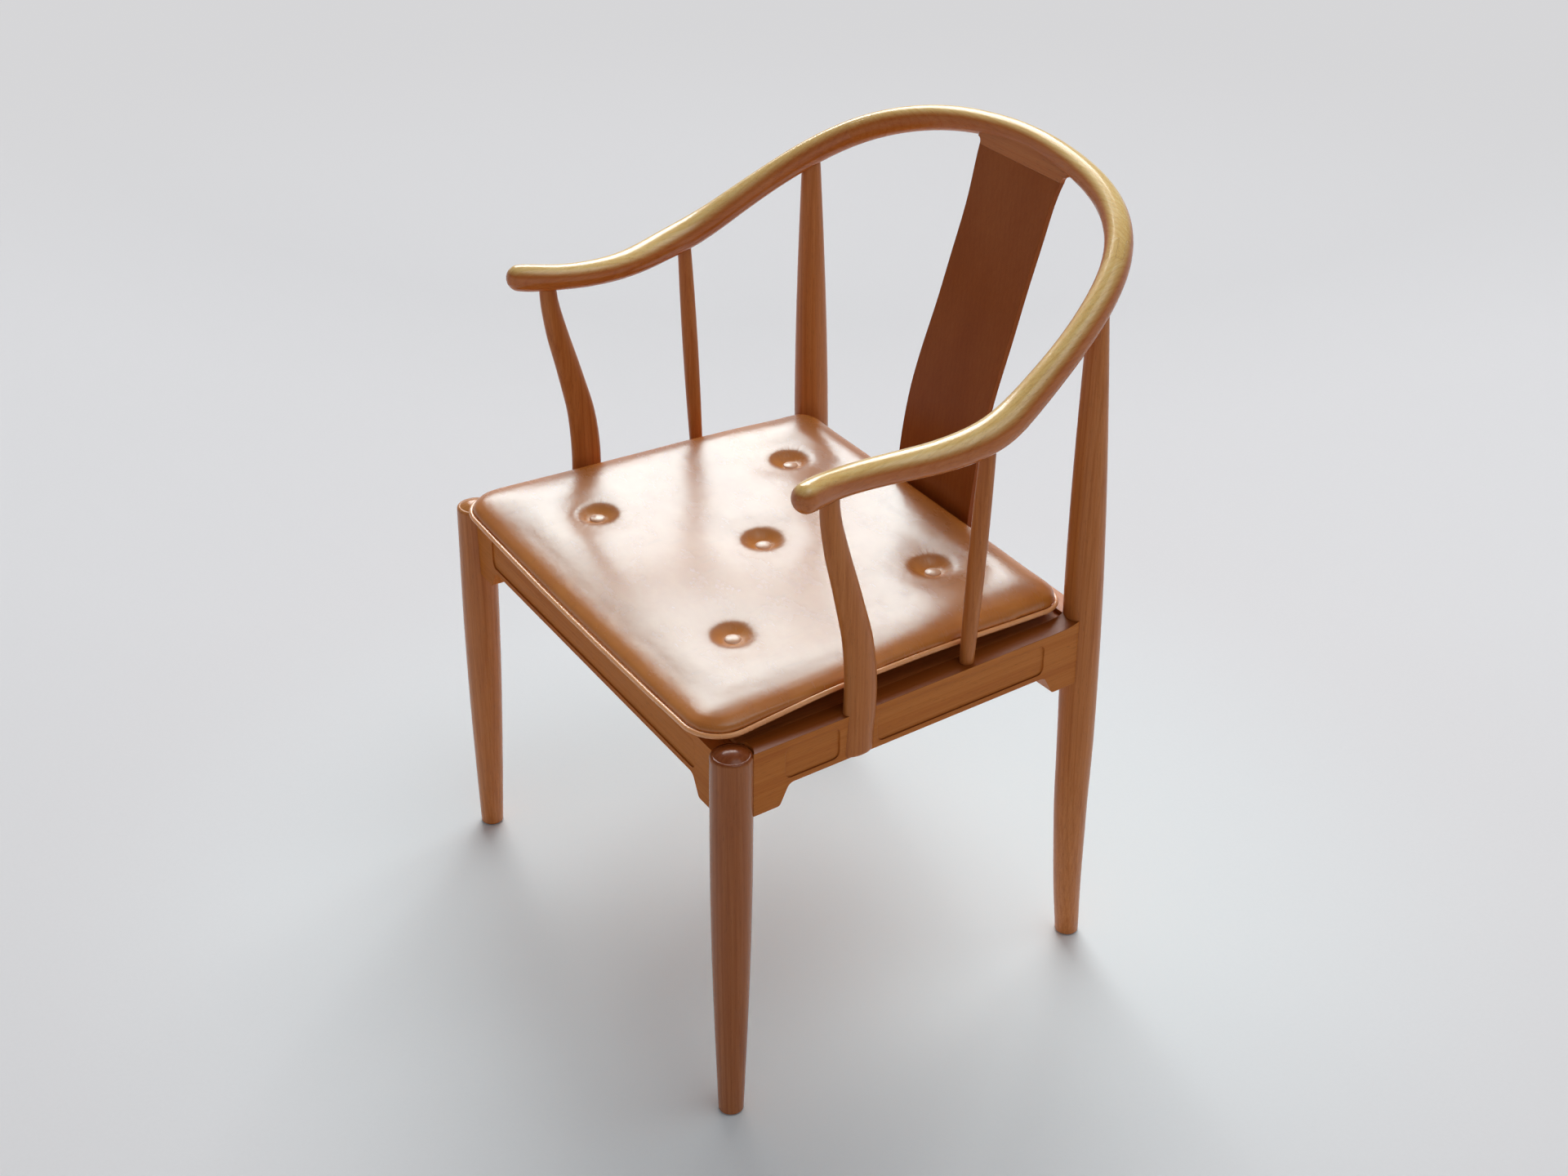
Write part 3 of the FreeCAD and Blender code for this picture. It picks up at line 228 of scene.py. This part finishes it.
def leather(name, tan, warm, deep, creases):
    """Smooth leather; with creases it has a rim tinted in painted shade, painted light in the
    wells round the tufts, and gathers round them.
    """
    material, tree, shader = new_material(name)
    place = put(tree, "ShaderNodeTexCoord").outputs["Object"]
    cloud = noise_tex(tree, place, 7.0, 4.0, 0.6, 0.6)
    blot = noise_tex(tree, scaled(tree, place, (1, 2.2, 1), turn=(0, 0, 0.5)), 24.0, 5.0, 0.62)
    share = math_node(tree, "MULTIPLY_ADD", cloud, 0.9, math_node(tree, "MULTIPLY", blot, 0.5))
    tone = ramp(tree, share, [(0.42, tan), (0.70, warm), (1.0, deep)])
    pore = put(tree, "ShaderNodeTexVoronoi", {"Vector": place, "Scale": 1150.0},
               feature="F1").outputs["Distance"]
    grain = noise_tex(tree, place, 420.0, 4.0, 0.6)
    hair = noise_tex(tree, scaled(tree, place, (1, 0.12, 1), turn=(0, 0, 0.85)), 210.0, 2.0, 0.5,
                     0.4)
    hair = ramp(tree, hair, [(0.60, 0.0), (0.72, 1.0)])
    tone = mix(tree, 1.0, tone, ramp(tree, hair, [(0.0, 1.0), (1.0, 0.93)]), "MULTIPLY")
    soft = noise_tex(tree, place, 55.0, 3.0, 0.5)
    relief = math_node(tree, "MULTIPLY_ADD", pore, 0.10,
                       math_node(tree, "MULTIPLY", grain, 0.16))
    relief = math_node(tree, "MULTIPLY_ADD", soft, 1.3, relief)
    relief = math_node(tree, "MULTIPLY_ADD", hair, -0.10, relief)
    if creases:
        spot = put(tree, "ShaderNodeSeparateXYZ", {"Vector": place}).outputs
        front = math_node(tree, "SUBTRACT", spot["Y"], FRONT_Y)
        side = math_node(tree, "SUBTRACT",
                         math_node(tree, "MULTIPLY_ADD", front,
                                   (REAR_HALF - FRONT_HALF) / (REAR_Y - FRONT_Y), FRONT_HALF),
                         math_node(tree, "ABSOLUTE", spot["X"]))
        rim = math_node(tree, "MINIMUM", math_node(tree, "MINIMUM", front, side),
                        math_node(tree, "SUBTRACT", REAR_Y, spot["Y"]))
        # painted shade: the rim is tinted a deeper orange, the tone it takes out of the sheen
        rim = ramp(tree, math_node(tree, "MULTIPLY", rim, 20.0),
                   [(0.20, PAINTED_RIM_SHADE), (0.62, PLAIN)], True)
        tone = mix(tree, 1.0, tone, rim, "MULTIPLY")
        for x, y in BUTTONS:
            offset = put(tree, "ShaderNodeVectorMath", {0: place, 1: (x, y, BUTTON_TOP)},
                         operation="SUBTRACT").outputs[0]
            flat = put(tree, "ShaderNodeVectorMath", {0: offset, 1: (1, 1, 0)},
                       operation="MULTIPLY").outputs[0]
            reach = put(tree, "ShaderNodeVectorMath", {0: flat},
                        operation="LENGTH").outputs["Value"]
            turn = put(tree, "ShaderNodeVectorMath", {0: flat},
                       operation="NORMALIZE").outputs[0]
            rays = noise_tex(tree, scaled(tree, turn, (1, 1, 1), place=(x * 40, y * 40, 0)),
                             9.0, 3.0, 0.6)
            near = ramp(tree, math_node(tree, "MULTIPLY", reach, 20.0),
                        [(0.0, 1.0), (0.2, 1.0), (0.42, 0.75), (0.82, 0.0)], True)
            relief = math_node(tree, "MULTIPLY_ADD", math_node(tree, "MULTIPLY", rays, near),
                               2.6, relief)
            # painted light: the well round each tuft is tinted paler and warmer, lifting its
            # shade
            well_light = ramp(tree, math_node(tree, "MULTIPLY", reach, 20.0),
                           [(0.0, PAINTED_WELL_LIGHT), (0.24, PAINTED_WELL_LIGHT), (0.46, PLAIN)], True)
            tone = mix(tree, 1.0, tone, well_light, "MULTIPLY")
    tree.links.new(tone, shader.inputs["Base Color"])
    gloss = math_node(tree, "MULTIPLY_ADD", blot, 0.06, 0.24)
    tree.links.new(gloss, shader.inputs["Roughness"])
    shader.inputs["Specular IOR Level"].default_value = 0.7
    shader.inputs["Specular Tint"].default_value = LEATHER_GLOSS
    bump = put(tree, "ShaderNodeBump", {"Height": relief, "Strength": 0.35, "Distance": 0.0006})
    tree.links.new(bump.outputs[0], shader.inputs["Normal"])
    return material


def simple(name, base, other, rough, metal, scale):
    """Small hardware: a base colour broken by fine wear."""
    material, tree, shader = new_material(name)
    place = put(tree, "ShaderNodeTexCoord").outputs["Object"]
    wear = noise_tex(tree, place, scale, 4.0, 0.6)
    tone = mix(tree, ramp(tree, wear, [(0.4, 0.0), (0.65, 1.0)]), base, other)
    tree.links.new(tone, shader.inputs["Base Color"])
    tree.links.new(math_node(tree, "MULTIPLY_ADD", wear, 0.3, rough - 0.15),
                   shader.inputs["Roughness"])
    shader.inputs["Metallic"].default_value = metal
    bump = put(tree, "ShaderNodeBump", {"Height": wear, "Strength": 0.15, "Distance": 0.0002})
    tree.links.new(bump.outputs[0], shader.inputs["Normal"])
    return material


def dress(material, *names):
    """Gives the named solids the material."""
    for name in names:
        for place in cad[name].material_slots:
            place.material = material


def sides(name):
    return name + "_left", name + "_right"


def wood_up(name, tones, pith, **extra):
    return wood(name, (0, 0, 1), tones, pith, **extra)


def dress_frame():
    lean = (RAIL_FRONT_X - RAIL_REAR_X) / RAIL_RUN
    for index, side in enumerate(("left", "right")):
        out = 1 if side == "left" else -1
        # The near front leg (left) takes painted shade, darker tones and a darker top; the far
        # one a painted paler top
        dress(wood_up("cherry_front_leg_" + side, PAINTED_SHADE_LEG_TONES if out > 0 else FRAME_TONES,
                      (0.055, 0.38 - out * 0.02, index), rough=0.22, shine=0.35,
                      top=END_GRAIN_AND_SHADE if out > 0 else PAINTED_LIT_END),
              "front_leg_" + side)
        dress(wood_up("cherry_rear_leg_" + side, FRAME_TONES, (0.04 * out, -0.06, 0.4 + index)),
              "rear_leg_" + side)
        dress(wood_up("cherry_arm_post_" + side, FRAME_TONES, (-0.05 * out, 0.24, 0.7 + index)),
              "arm_post_" + side)
        dress(wood_up("cherry_spindle_" + side, FRAME_TONES, (0.07 * out, 0.09, 1.3 + index)),
              "arm_spindle_" + side)
        dress(wood("cherry_side_rail_" + side, (-lean * out, 1, 0), RAIL_TONES,
                   (0.32 * out, 0.31, 2 + index), shine=0.10, top=PAINTED_RAIL_SHADE), "side_rail_" + side)
        dress(wood("cherry_arm_" + side, (-0.12 * out, 1, 0.16), BOW_TONES,
                   (0.34 * out, 0.72, 3 + index), fleck=0.26, rough=0.19, shine=0.52,
                   top=PAINTED_TOP_LIGHT, lines=0.7),
              "arm_rail_" + side)
    dress(wood("cherry_crest", (1, 0, 0), BOW_TONES, (0.73, 0.05, 5), fleck=0.26, rough=0.22,
               shine=0.3, top=PAINTED_TOP_LIGHT, lines=0.7), "crest_rail")
    dress(wood("cherry_front_rail", (1, 0, 0), RAIL_TONES, (0.44, -0.30, 6), rough=0.45,
               shine=0.04), "front_rail")
    dress(wood("cherry_rear_rail", (1, 0, 0), RAIL_TONES, (0.33, 0.22, 7)), "rear_rail")
    dress(wood_up("cherry_splat", SPLAT_TONES, (0.21, 0.02, 8), shine=0.12, lines=0.45),
          "back_splat")
    dress(wood("panel_veneer", (0, 1, 0), FRAME_TONES, (0.1, 0.5, 9), rough=0.45),
          "seat_panel")
    inner = wood("beech_inner", (1, 0, 0), INNER_TONES, (0.2, 0.3, 10), rough=0.55)
    dress(inner, "seat_ledge_front", "seat_ledge_rear", *sides("corner_block_front"),
          *sides("corner_block_rear"))
    dress(wood("beech_inner_side", (0, 1, 0), INNER_TONES, (0.3, 0.4, 11), rough=0.55),
          *sides("seat_ledge"))
    dress(simple("zinc_screw", colour(0.62, 0.60, 0.55), colour(0.42, 0.40, 0.36), 0.38, 1.0,
                 900.0), "block_screws", "arm_post_screws")
    dress(simple("glide_nylon", colour(0.09, 0.06, 0.045), colour(0.13, 0.09, 0.07), 0.5, 0.0,
                 300.0), "foot_glides")
    dress(simple("tuft_twine", colour(0.55, 0.42, 0.28), colour(0.40, 0.28, 0.17), 0.8, 0.0,
                 1500.0), "tuft_cords")


# Cushion

def outline(inset, straight=40, turn=16):
    """Rounded trapezoid seen from above, drawn in by an inset all round."""
    slope = (FRONT_HALF - REAR_HALF) / (REAR_Y - FRONT_Y)
    lean = math.sqrt(1 + slope ** 2)
    front = FRONT_HALF - slope * inset - inset * lean
    rear = REAR_HALF + slope * inset - inset * lean
    corners = [Vector((front, FRONT_Y + inset)), Vector((rear, REAR_Y - inset)),
               Vector((-rear, REAR_Y - inset)), Vector((-front, FRONT_Y + inset))]
    rounds = [max(r - inset, 0.3 * r) for r in (FRONT_ROUND, REAR_ROUND, REAR_ROUND, FRONT_ROUND)]
    arcs = []
    for i, corner in enumerate(corners):
        before = (corners[i - 1] - corner).normalized()
        after = (corners[(i + 1) % 4] - corner).normalized()
        half = before.angle(after) / 2
        centre = corner + (before + after).normalized() * rounds[i] / math.sin(half)
        start = corner + before * rounds[i] / math.tan(half) - centre
        sweep = math.pi - 2 * half
        arc = []
        for step in range(turn + 1):
            angle = sweep * step / turn
            c, s = math.cos(angle), math.sin(angle)
            arc.append(centre + Vector((start.x * c - start.y * s, start.x * s + start.y * c)))
        arcs.append(arc)
    points = []
    for i, arc in enumerate(arcs):
        points += arc
        following = arcs[(i + 1) % 4][0]
        points += [arc[-1].lerp(following, step / straight) for step in range(1, straight)]
    return points


def ease(value):
    value = min(1.0, max(0.0, value))
    return value * value * (3 - 2 * value)


def sag(x, y, z):
    """The front edge hangs a little in its middle, where the front rail is lower."""
    across = max(0.0, 1 - (x / 0.235) ** 2)
    return FRONT_SAG * across * ease((-0.165 - y) / 0.10) * ease((z - REST_Z) / 0.010)


def join_rings(name, rings):
    """A closed skin over rings of points, from the lowest to the highest."""
    mesh = bpy.data.meshes.new(name)
    shape = bmesh.new()
    rows = [[shape.verts.new(p) for p in ring] for ring in rings]
    count = len(rows[0])
    for low, high in zip(rows, rows[1:]):
        for i in range(count):
            j = (i + 1) % count
            shape.faces.new((low[i], low[j], high[j], high[i]))
    shape.faces.new(list(reversed(rows[0])))
    shape.faces.new(rows[-1])
    bmesh.ops.recalc_face_normals(shape, faces=shape.faces)
    shape.to_mesh(mesh)
    shape.free()
    made = bpy.data.objects.new(name, mesh)
    scene.collection.objects.link(made)
    return made


def dimple(x, y):
    """Depth below the plateau: round each tuft, a well in a wide flat bowl."""
    depth = 0.0
    for bx, by in BUTTONS:
        reach = math.hypot(x - bx, y - by)
        bowl = BOWL_DEPTH * (1 - ease(reach / BOWL_REACH))
        well = plateau(bx, by) - BOWL_DEPTH - BUTTON_TOP + WELL_BELOW_BUTTON
        depth += bowl + well * (1 - ease((reach - WELL_FLOOR_REACH) / WELL_SLOPE))
    return depth


def plateau(x, y):
    """Height of the top between the tufts: it is lower towards the front."""
    swell_height, front_drop, edge_drop, inner_drop = 0.0015, 0.0050, 0.0030, 0.0045
    rim, rim_slope = 0.015, 0.065
    swell = swell_height * max(0.0, 1 - (x / 0.26) ** 2) * max(0.0, 1 - ((y + 0.06) / 0.21) ** 2)
    back = ease((y + 0.22) / 0.26)
    side = FRONT_HALF - (FRONT_HALF - REAR_HALF) * (y - FRONT_Y) / (REAR_Y - FRONT_Y) - abs(x)
    inner = ease((side - rim) / rim_slope) * ease((REAR_Y - y - rim) / rim_slope)
    front = front_drop * (1 - back) + edge_drop * (1 - ease((y - FRONT_Y) / 0.07))
    return TOP_Z - front - inner_drop * inner * (0.25 + 0.75 * back) + swell


def lift(x, y):
    """The seam on the near side has risen off its rail."""
    along = ease((y + 0.27) / 0.15) * (1 - ease((y + 0.06) / 0.23))
    return SEAM_RISE * along * ease((x - 0.16) / 0.09)


def make_cushion():
    """The leather pad: rounded edges, puffed in full runs, then drawn in at the tufts."""
    low = [(0.100, REST_Z), (0.0428, REST_Z), (0.0285, 0.4174), (0.0128, 0.4230),
           (0.0040, 0.4262), (0.0010, 0.4280)]
    high = [(0.0002, 0.4310), (0.0003, 0.4345), (0.0022, 0.4388), (0.0060, 0.4425),
            (0.0120, 0.4455), (0.0200, 0.4476), (0.0300, 0.4490), (0.0440, 0.4499),
            (0.0640, TOP_Z), (0.1000, TOP_Z)]
    rings = [[(p.x, p.y, z) for p in outline(inset)] for inset, z in low + high]
    pad = join_rings("seat_cushion", rings)
    solid = pad.modifiers.new("even", "REMESH")
    solid.mode = "VOXEL"
    solid.voxel_size = VOXEL
    settle(pad)
    puff(pad)
    for vertex in pad.data.vertices:
        shape_point(vertex)
    smooth = pad.modifiers.new("smooth", "SUBSURF")
    smooth.levels = smooth.render_levels = 1
    settle(pad)
    for polygon in pad.data.polygons:
        polygon.use_smooth = True
    return pad


def settle(target):
    """Applies the object's modifiers to its mesh."""
    graph = bpy.context.evaluated_depsgraph_get()
    shaped = bpy.data.meshes.new_from_object(target.evaluated_get(graph))
    target.modifiers.clear()
    old = target.data
    target.data = shaped
    bpy.data.meshes.remove(old)


def shape_point(vertex):
    """Lays a point of the pad: its top on the plateau, its seam as lifted, its tufts sunk."""
    x, y, z = vertex.co
    rise = (z - SEAM_Z) / (TOP_Z - SEAM_Z)
    upper = min(1.0, max(0.0, rise))
    z += upper * (plateau(x, y) - TOP_Z) + (1 - upper) * lift(x, y)
    z -= ease((rise - 0.6) / 0.35) * dimple(x, y)
    vertex.co = (x, y, z - sag(x, y, z))


def even_out(mesh, steps):
    """Each point's step becomes the mean of its own and its neighbours'."""
    sums = [step.copy() for step in steps]
    counts = [1] * len(steps)
    for edge in mesh.edges:
        a, b = edge.vertices
        sums[a] += steps[b]
        sums[b] += steps[a]
        counts[a] += 1
        counts[b] += 1
    return [total / count for total, count in zip(sums, counts)]


def puff(pad):
    """Leather under slight pressure, held at the seam, the tufts and the underside."""
    rest = [vertex.co.copy() for vertex in pad.data.vertices]
    held = pad.vertex_groups.new(name="held")
    for vertex in pad.data.vertices:
        x, y, z = vertex.co
        tuft = min(math.hypot(x - bx, y - by) for bx, by in BUTTONS)
        if z < 0.430 or tuft < 0.011:
            held.add([vertex.index], 1.0, "REPLACE")
    cloth = pad.modifiers.new("cloth", "CLOTH")
    values = cloth.settings
    values.quality = 6
    values.mass = 0.4
    values.tension_stiffness = 30
    values.compression_stiffness = 30
    values.shear_stiffness = 12
    values.bending_stiffness = 4
    values.use_pressure = True
    values.uniform_pressure_force = 4
    values.vertex_group_mass = "held"
    values.effector_weights.gravity = 0
    cloth.collision_settings.use_collision = False
    for moment in range(1, PUFF_FRAMES + 1):
        scene.frame_set(moment)
    graph = bpy.context.evaluated_depsgraph_get()
    moved = bpy.data.meshes.new_from_object(pad.evaluated_get(graph))
    pad.modifiers.clear()
    steps = [swollen.co - start for start, swollen in zip(rest, moved.vertices)]
    steps = [step * (PUFF_LIMIT * math.tanh(step.length / PUFF_LIMIT) / max(step.length, 1e-9))
             for step in steps]
    for _ in range(PUFF_SMOOTHING):
        steps = even_out(pad.data, steps)
    for vertex, start, step in zip(pad.data.vertices, rest, steps):
        vertex.co = start + step
    bpy.data.meshes.remove(moved)
    pad.vertex_groups.clear()
    scene.frame_set(1)


def make_piping():
    """Leather covered cord round the seam."""
    data = bpy.data.curves.new("seat_piping", "CURVE")
    data.dimensions = "3D"
    line = data.splines.new("POLY")
    points = outline(-PIPING_PROUD, 48, 16)
    line.points.add(len(points) - 1)
    for point, place in zip(line.points, points):
        wave = 0.0003 * noise.noise(Vector((place.x * 22, place.y * 22, 3)))
        height = SEAM_Z + wave + lift(place.x, place.y) - sag(place.x, place.y, SEAM_Z)
        point.co = (place.x, place.y, height, 1)
    line.use_cyclic_u = True
    data.bevel_depth = PIPING_RADIUS
    data.bevel_resolution = 5
    made = bpy.data.objects.new("seat_piping", data)
    scene.collection.objects.link(made)
    return made


def lathe(name, profile, count=40):
    """A turned piece from (radius, height) pairs, from the lowest to the highest."""
    rings = []
    for radius, z in profile:
        rings.append([(radius * math.cos(2 * math.pi * i / count),
                       radius * math.sin(2 * math.pi * i / count), z) for i in range(count)])
    made = join_rings(name, rings)
    for polygon in made.data.polygons:
        polygon.use_smooth = True
    return made


def make_button(name, x, y, tip, top_z):
    """Leather stretched over a domed former, gathered below its rim."""
    profile = [(0.0052, -0.0058), (0.0070, -0.0052), (0.0082, -0.0040), (0.0086, -0.0028),
               (0.0083, -0.0017), (0.0072, -0.0009), (0.0052, -0.0004), (0.0028, -0.0001),
               (0.0008, 0.0)]
    made = lathe(name, profile)
    for vertex in made.data.vertices:
        angle = math.atan2(vertex.co.y, vertex.co.x)
        below = ease((-0.0026 - vertex.co.z) / 0.002)
        pleat = 1 - 0.05 * below * (0.5 + 0.5 * math.cos(9 * angle + 40 * x))
        vertex.co.x *= pleat
        vertex.co.y *= pleat
    smooth = made.modifiers.new("smooth", "SUBSURF")
    smooth.levels = smooth.render_levels = 1
    made.matrix_world = (Matrix.Translation((x, y, top_z - sag(x, y, top_z)))
                         @ Matrix.Rotation(tip[0], 4, "X") @ Matrix.Rotation(tip[1], 4, "Y"))
    return made


def make_back_button(name, x, y):
    profile = [(0.0008, 0.0), (0.0050, 0.0001), (0.0074, 0.0004), (0.0083, 0.0010),
               (0.0083, 0.0018), (0.0076, 0.0023), (0.0050, 0.0026)]
    made = lathe(name, profile)
    made.location = (x, y, REST_Z + 0.0001)
    return made


def make_seat():
    seat_leather = leather("tan_leather", colour(0.54, 0.210, 0.064), colour(0.48, 0.170, 0.046),
                           colour(0.40, 0.124, 0.030), True)
    # painted light: the piping takes much paler tones than the seat, lifting the shade under the
    # pad's edge
    painted_light_piping = leather("tan_leather_piping", colour(0.98, 0.46, 0.180),
                           colour(0.92, 0.40, 0.150), colour(0.80, 0.30, 0.105), False)
    button_leather = leather("tan_leather_button", colour(0.82, 0.48, 0.30),
                             colour(0.76, 0.42, 0.25), colour(0.66, 0.34, 0.19), False)
    pad = make_cushion()
    pad.data.materials.append(seat_leather)
    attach(pad, "cushion")
    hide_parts("cushion_body")
    piping = make_piping()
    piping.data.materials.append(painted_light_piping)
    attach(piping, "cushion")
    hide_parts("cushion_piping")
    for index, (x, y) in enumerate(BUTTONS):
        tip = (0.05 * math.sin(3 * index + 1), 0.05 * math.cos(5 * index))
        button = make_button("seat_button_%d" % index, x, y, tip, BUTTON_TOP)
        button.data.materials.append(button_leather)
        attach(button, "cushion")
        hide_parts("cushion_buttons")
        under = make_back_button("under_button_%d" % index, x, y)
        under.data.materials.append(button_leather)
        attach(under, "cushion")
        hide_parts("cushion_back_buttons")


# Studio

WALL = colour(0.675, 0.673, 0.685)
LAMP_SIDE = (-2.7, 1.7, 0.0)


def make_camera():
    data = bpy.data.cameras.new("camera")
    camera = bpy.data.objects.new("camera", data)
    scene.collection.objects.link(camera)
    yaw = math.radians(CAMERA_YAW)
    pitch = math.radians(CAMERA_PITCH)
    look = Vector((-math.sin(yaw) * math.cos(pitch), math.cos(yaw) * math.cos(pitch),
                   -math.sin(pitch)))
    camera.location = CAMERA_PLACE
    camera.rotation_mode = "QUATERNION"
    camera.rotation_quaternion = look.to_track_quat("-Z", "Y")
    data.sensor_fit = "HORIZONTAL"
    data.sensor_width = 36.0
    data.lens = CAMERA_LENS
    data.clip_start = 0.05
    data.clip_end = 100.0
    scene.camera = camera


def seen_rays(tree):
    """The rays that show the background: camera, gloss and transmission."""
    paths = put(tree, "ShaderNodeLightPath").outputs
    rays = math_node(tree, "MAXIMUM", paths["Is Camera Ray"], paths["Is Glossy Ray"])
    return math_node(tree, "MAXIMUM", rays, paths["Is Transmission Ray"])


def make_floor():
    """A pale paper floor, a little deeper towards the lamps and painted paler and cooler under
    the chair, that fades into the wall.
    """
    mesh = bpy.data.meshes.new("floor")
    reach = 30.0
    mesh.from_pydata([(-reach, -reach, 0), (reach, -reach, 0), (reach, reach, 0),
                      (-reach, reach, 0)], [], [(0, 1, 2, 3)])
    floor = bpy.data.objects.new("floor", mesh)
    scene.collection.objects.link(floor)
    material, tree, shader = new_material("paper_floor")
    place = put(tree, "ShaderNodeTexCoord").outputs["Object"]
    fibre = noise_tex(tree, place, 260.0, 3.0, 0.6)
    fibre = ramp(tree, fibre, [(0.3, 0.985), (0.7, 1.0)])
    away = put(tree, "ShaderNodeVectorMath", {0: place, 1: LAMP_SIDE},
               operation="DISTANCE").outputs["Value"]
    away = ramp(tree, math_node(tree, "MULTIPLY", away, 0.25),
                [(0.0, colour(0.640, 0.636, 0.644)), (0.25, colour(0.680, 0.677, 0.685)),
                 (0.42, colour(0.720, 0.718, 0.725)), (0.53, colour(0.800, 0.797, 0.805)),
                 (0.69, colour(0.880, 0.878, 0.885)), (0.83, colour(0.920, 0.918, 0.922))])
    # painted light: the floor under and round the chair is tinted paler and cooler, lifting the
    # chair's shadow
    near = put(tree, "ShaderNodeVectorMath", {0: place}, operation="LENGTH").outputs["Value"]
    away = mix(tree, 1.0, away,
               ramp(tree, near, [(0.25, colour(1.04, 1.12, 1.13)), (0.9, PLAIN)], True),
               "MULTIPLY")
    tree.links.new(mix(tree, 1.0, away, fibre, "MULTIPLY"), shader.inputs["Base Color"])
    shader.inputs["Roughness"].default_value = 0.9
    shader.inputs["Specular IOR Level"].default_value = 0.2
    far = ramp(tree, math_node(tree, "MULTIPLY", near, 0.1), [(0.17, 0.0), (0.34, 1.0)], True)
    glow = put(tree, "ShaderNodeEmission", {"Color": WALL, "Strength": 1.0}).outputs[0]
    faded = put(tree, "ShaderNodeMixShader",
                {0: math_node(tree, "MULTIPLY", far, seen_rays(tree)),
                 1: shader.outputs[0], 2: glow}).outputs[0]
    tree.links.new(faded, tree.nodes["Material Output"].inputs["Surface"])
    mesh.materials.append(material)


def make_lamp(name, place, target, width, height, power, gloss=True, diffuse=True):
    data = bpy.data.lights.new(name, "AREA")
    data.shape = "RECTANGLE"
    data.size = width
    data.size_y = height
    data.energy = power
    lamp = bpy.data.objects.new(name, data)
    lamp.visible_glossy = gloss
    lamp.visible_diffuse = diffuse
    scene.collection.objects.link(lamp)
    lamp.location = place
    lamp.rotation_mode = "QUATERNION"
    lamp.rotation_quaternion = (Vector(target) - Vector(place)).to_track_quat("-Z", "Y")


def make_light():
    """A dim room whose walls are paler near the floor, and four large soft lamps."""
    world = bpy.data.worlds.new("studio")
    world.use_nodes = True
    tree = world.node_tree
    tree.nodes.clear()
    height = put(tree, "ShaderNodeSeparateXYZ",
                 {"Vector": put(tree, "ShaderNodeTexCoord").outputs["Generated"]}).outputs["Z"]
    walls = ramp(tree, height, [(0.0, colour(0.60, 0.62, 0.65)),
                                (0.25, colour(0.42, 0.43, 0.46)),
                                (0.55, colour(0.14, 0.148, 0.162)),
                                (1.0, colour(0.11, 0.118, 0.130))])
    seen = ramp(tree, height, [(0.0, WALL), (0.10, WALL),
                               (0.30, colour(0.20, 0.20, 0.21)), (1.0, colour(0.12, 0.12, 0.13))])
    tone = mix(tree, seen_rays(tree), walls, seen)
    back = put(tree, "ShaderNodeBackground", {"Color": tone, "Strength": 1.0})
    output = put(tree, "ShaderNodeOutputWorld")
    tree.links.new(back.outputs[0], output.inputs["Surface"])
    scene.world = world
    seat = (0.0, 0.0, 0.35)
    cushion = (0.0, 0.0, 0.45)
    make_lamp("key", (-2.5, 1.9, 4.5), seat, 4.8, 2.1, 108.0, gloss=False)
    make_lamp("back_screen", (-5.73, 3.31, 4.19), cushion, 5.0, 1.9, 225.0, gloss=False)
    make_lamp("overhead", (1.3, 0.7, 4.6), seat, 3.0, 2.4, 38.0)
    make_lamp("screen_sheen", (-5.23, 2.33, 4.46), cushion, 4.0, 3.3, 400.0, diffuse=False)
    scene.view_settings.view_transform = "Standard"


make_camera()
make_floor()
dress_frame()
make_seat()
make_light()
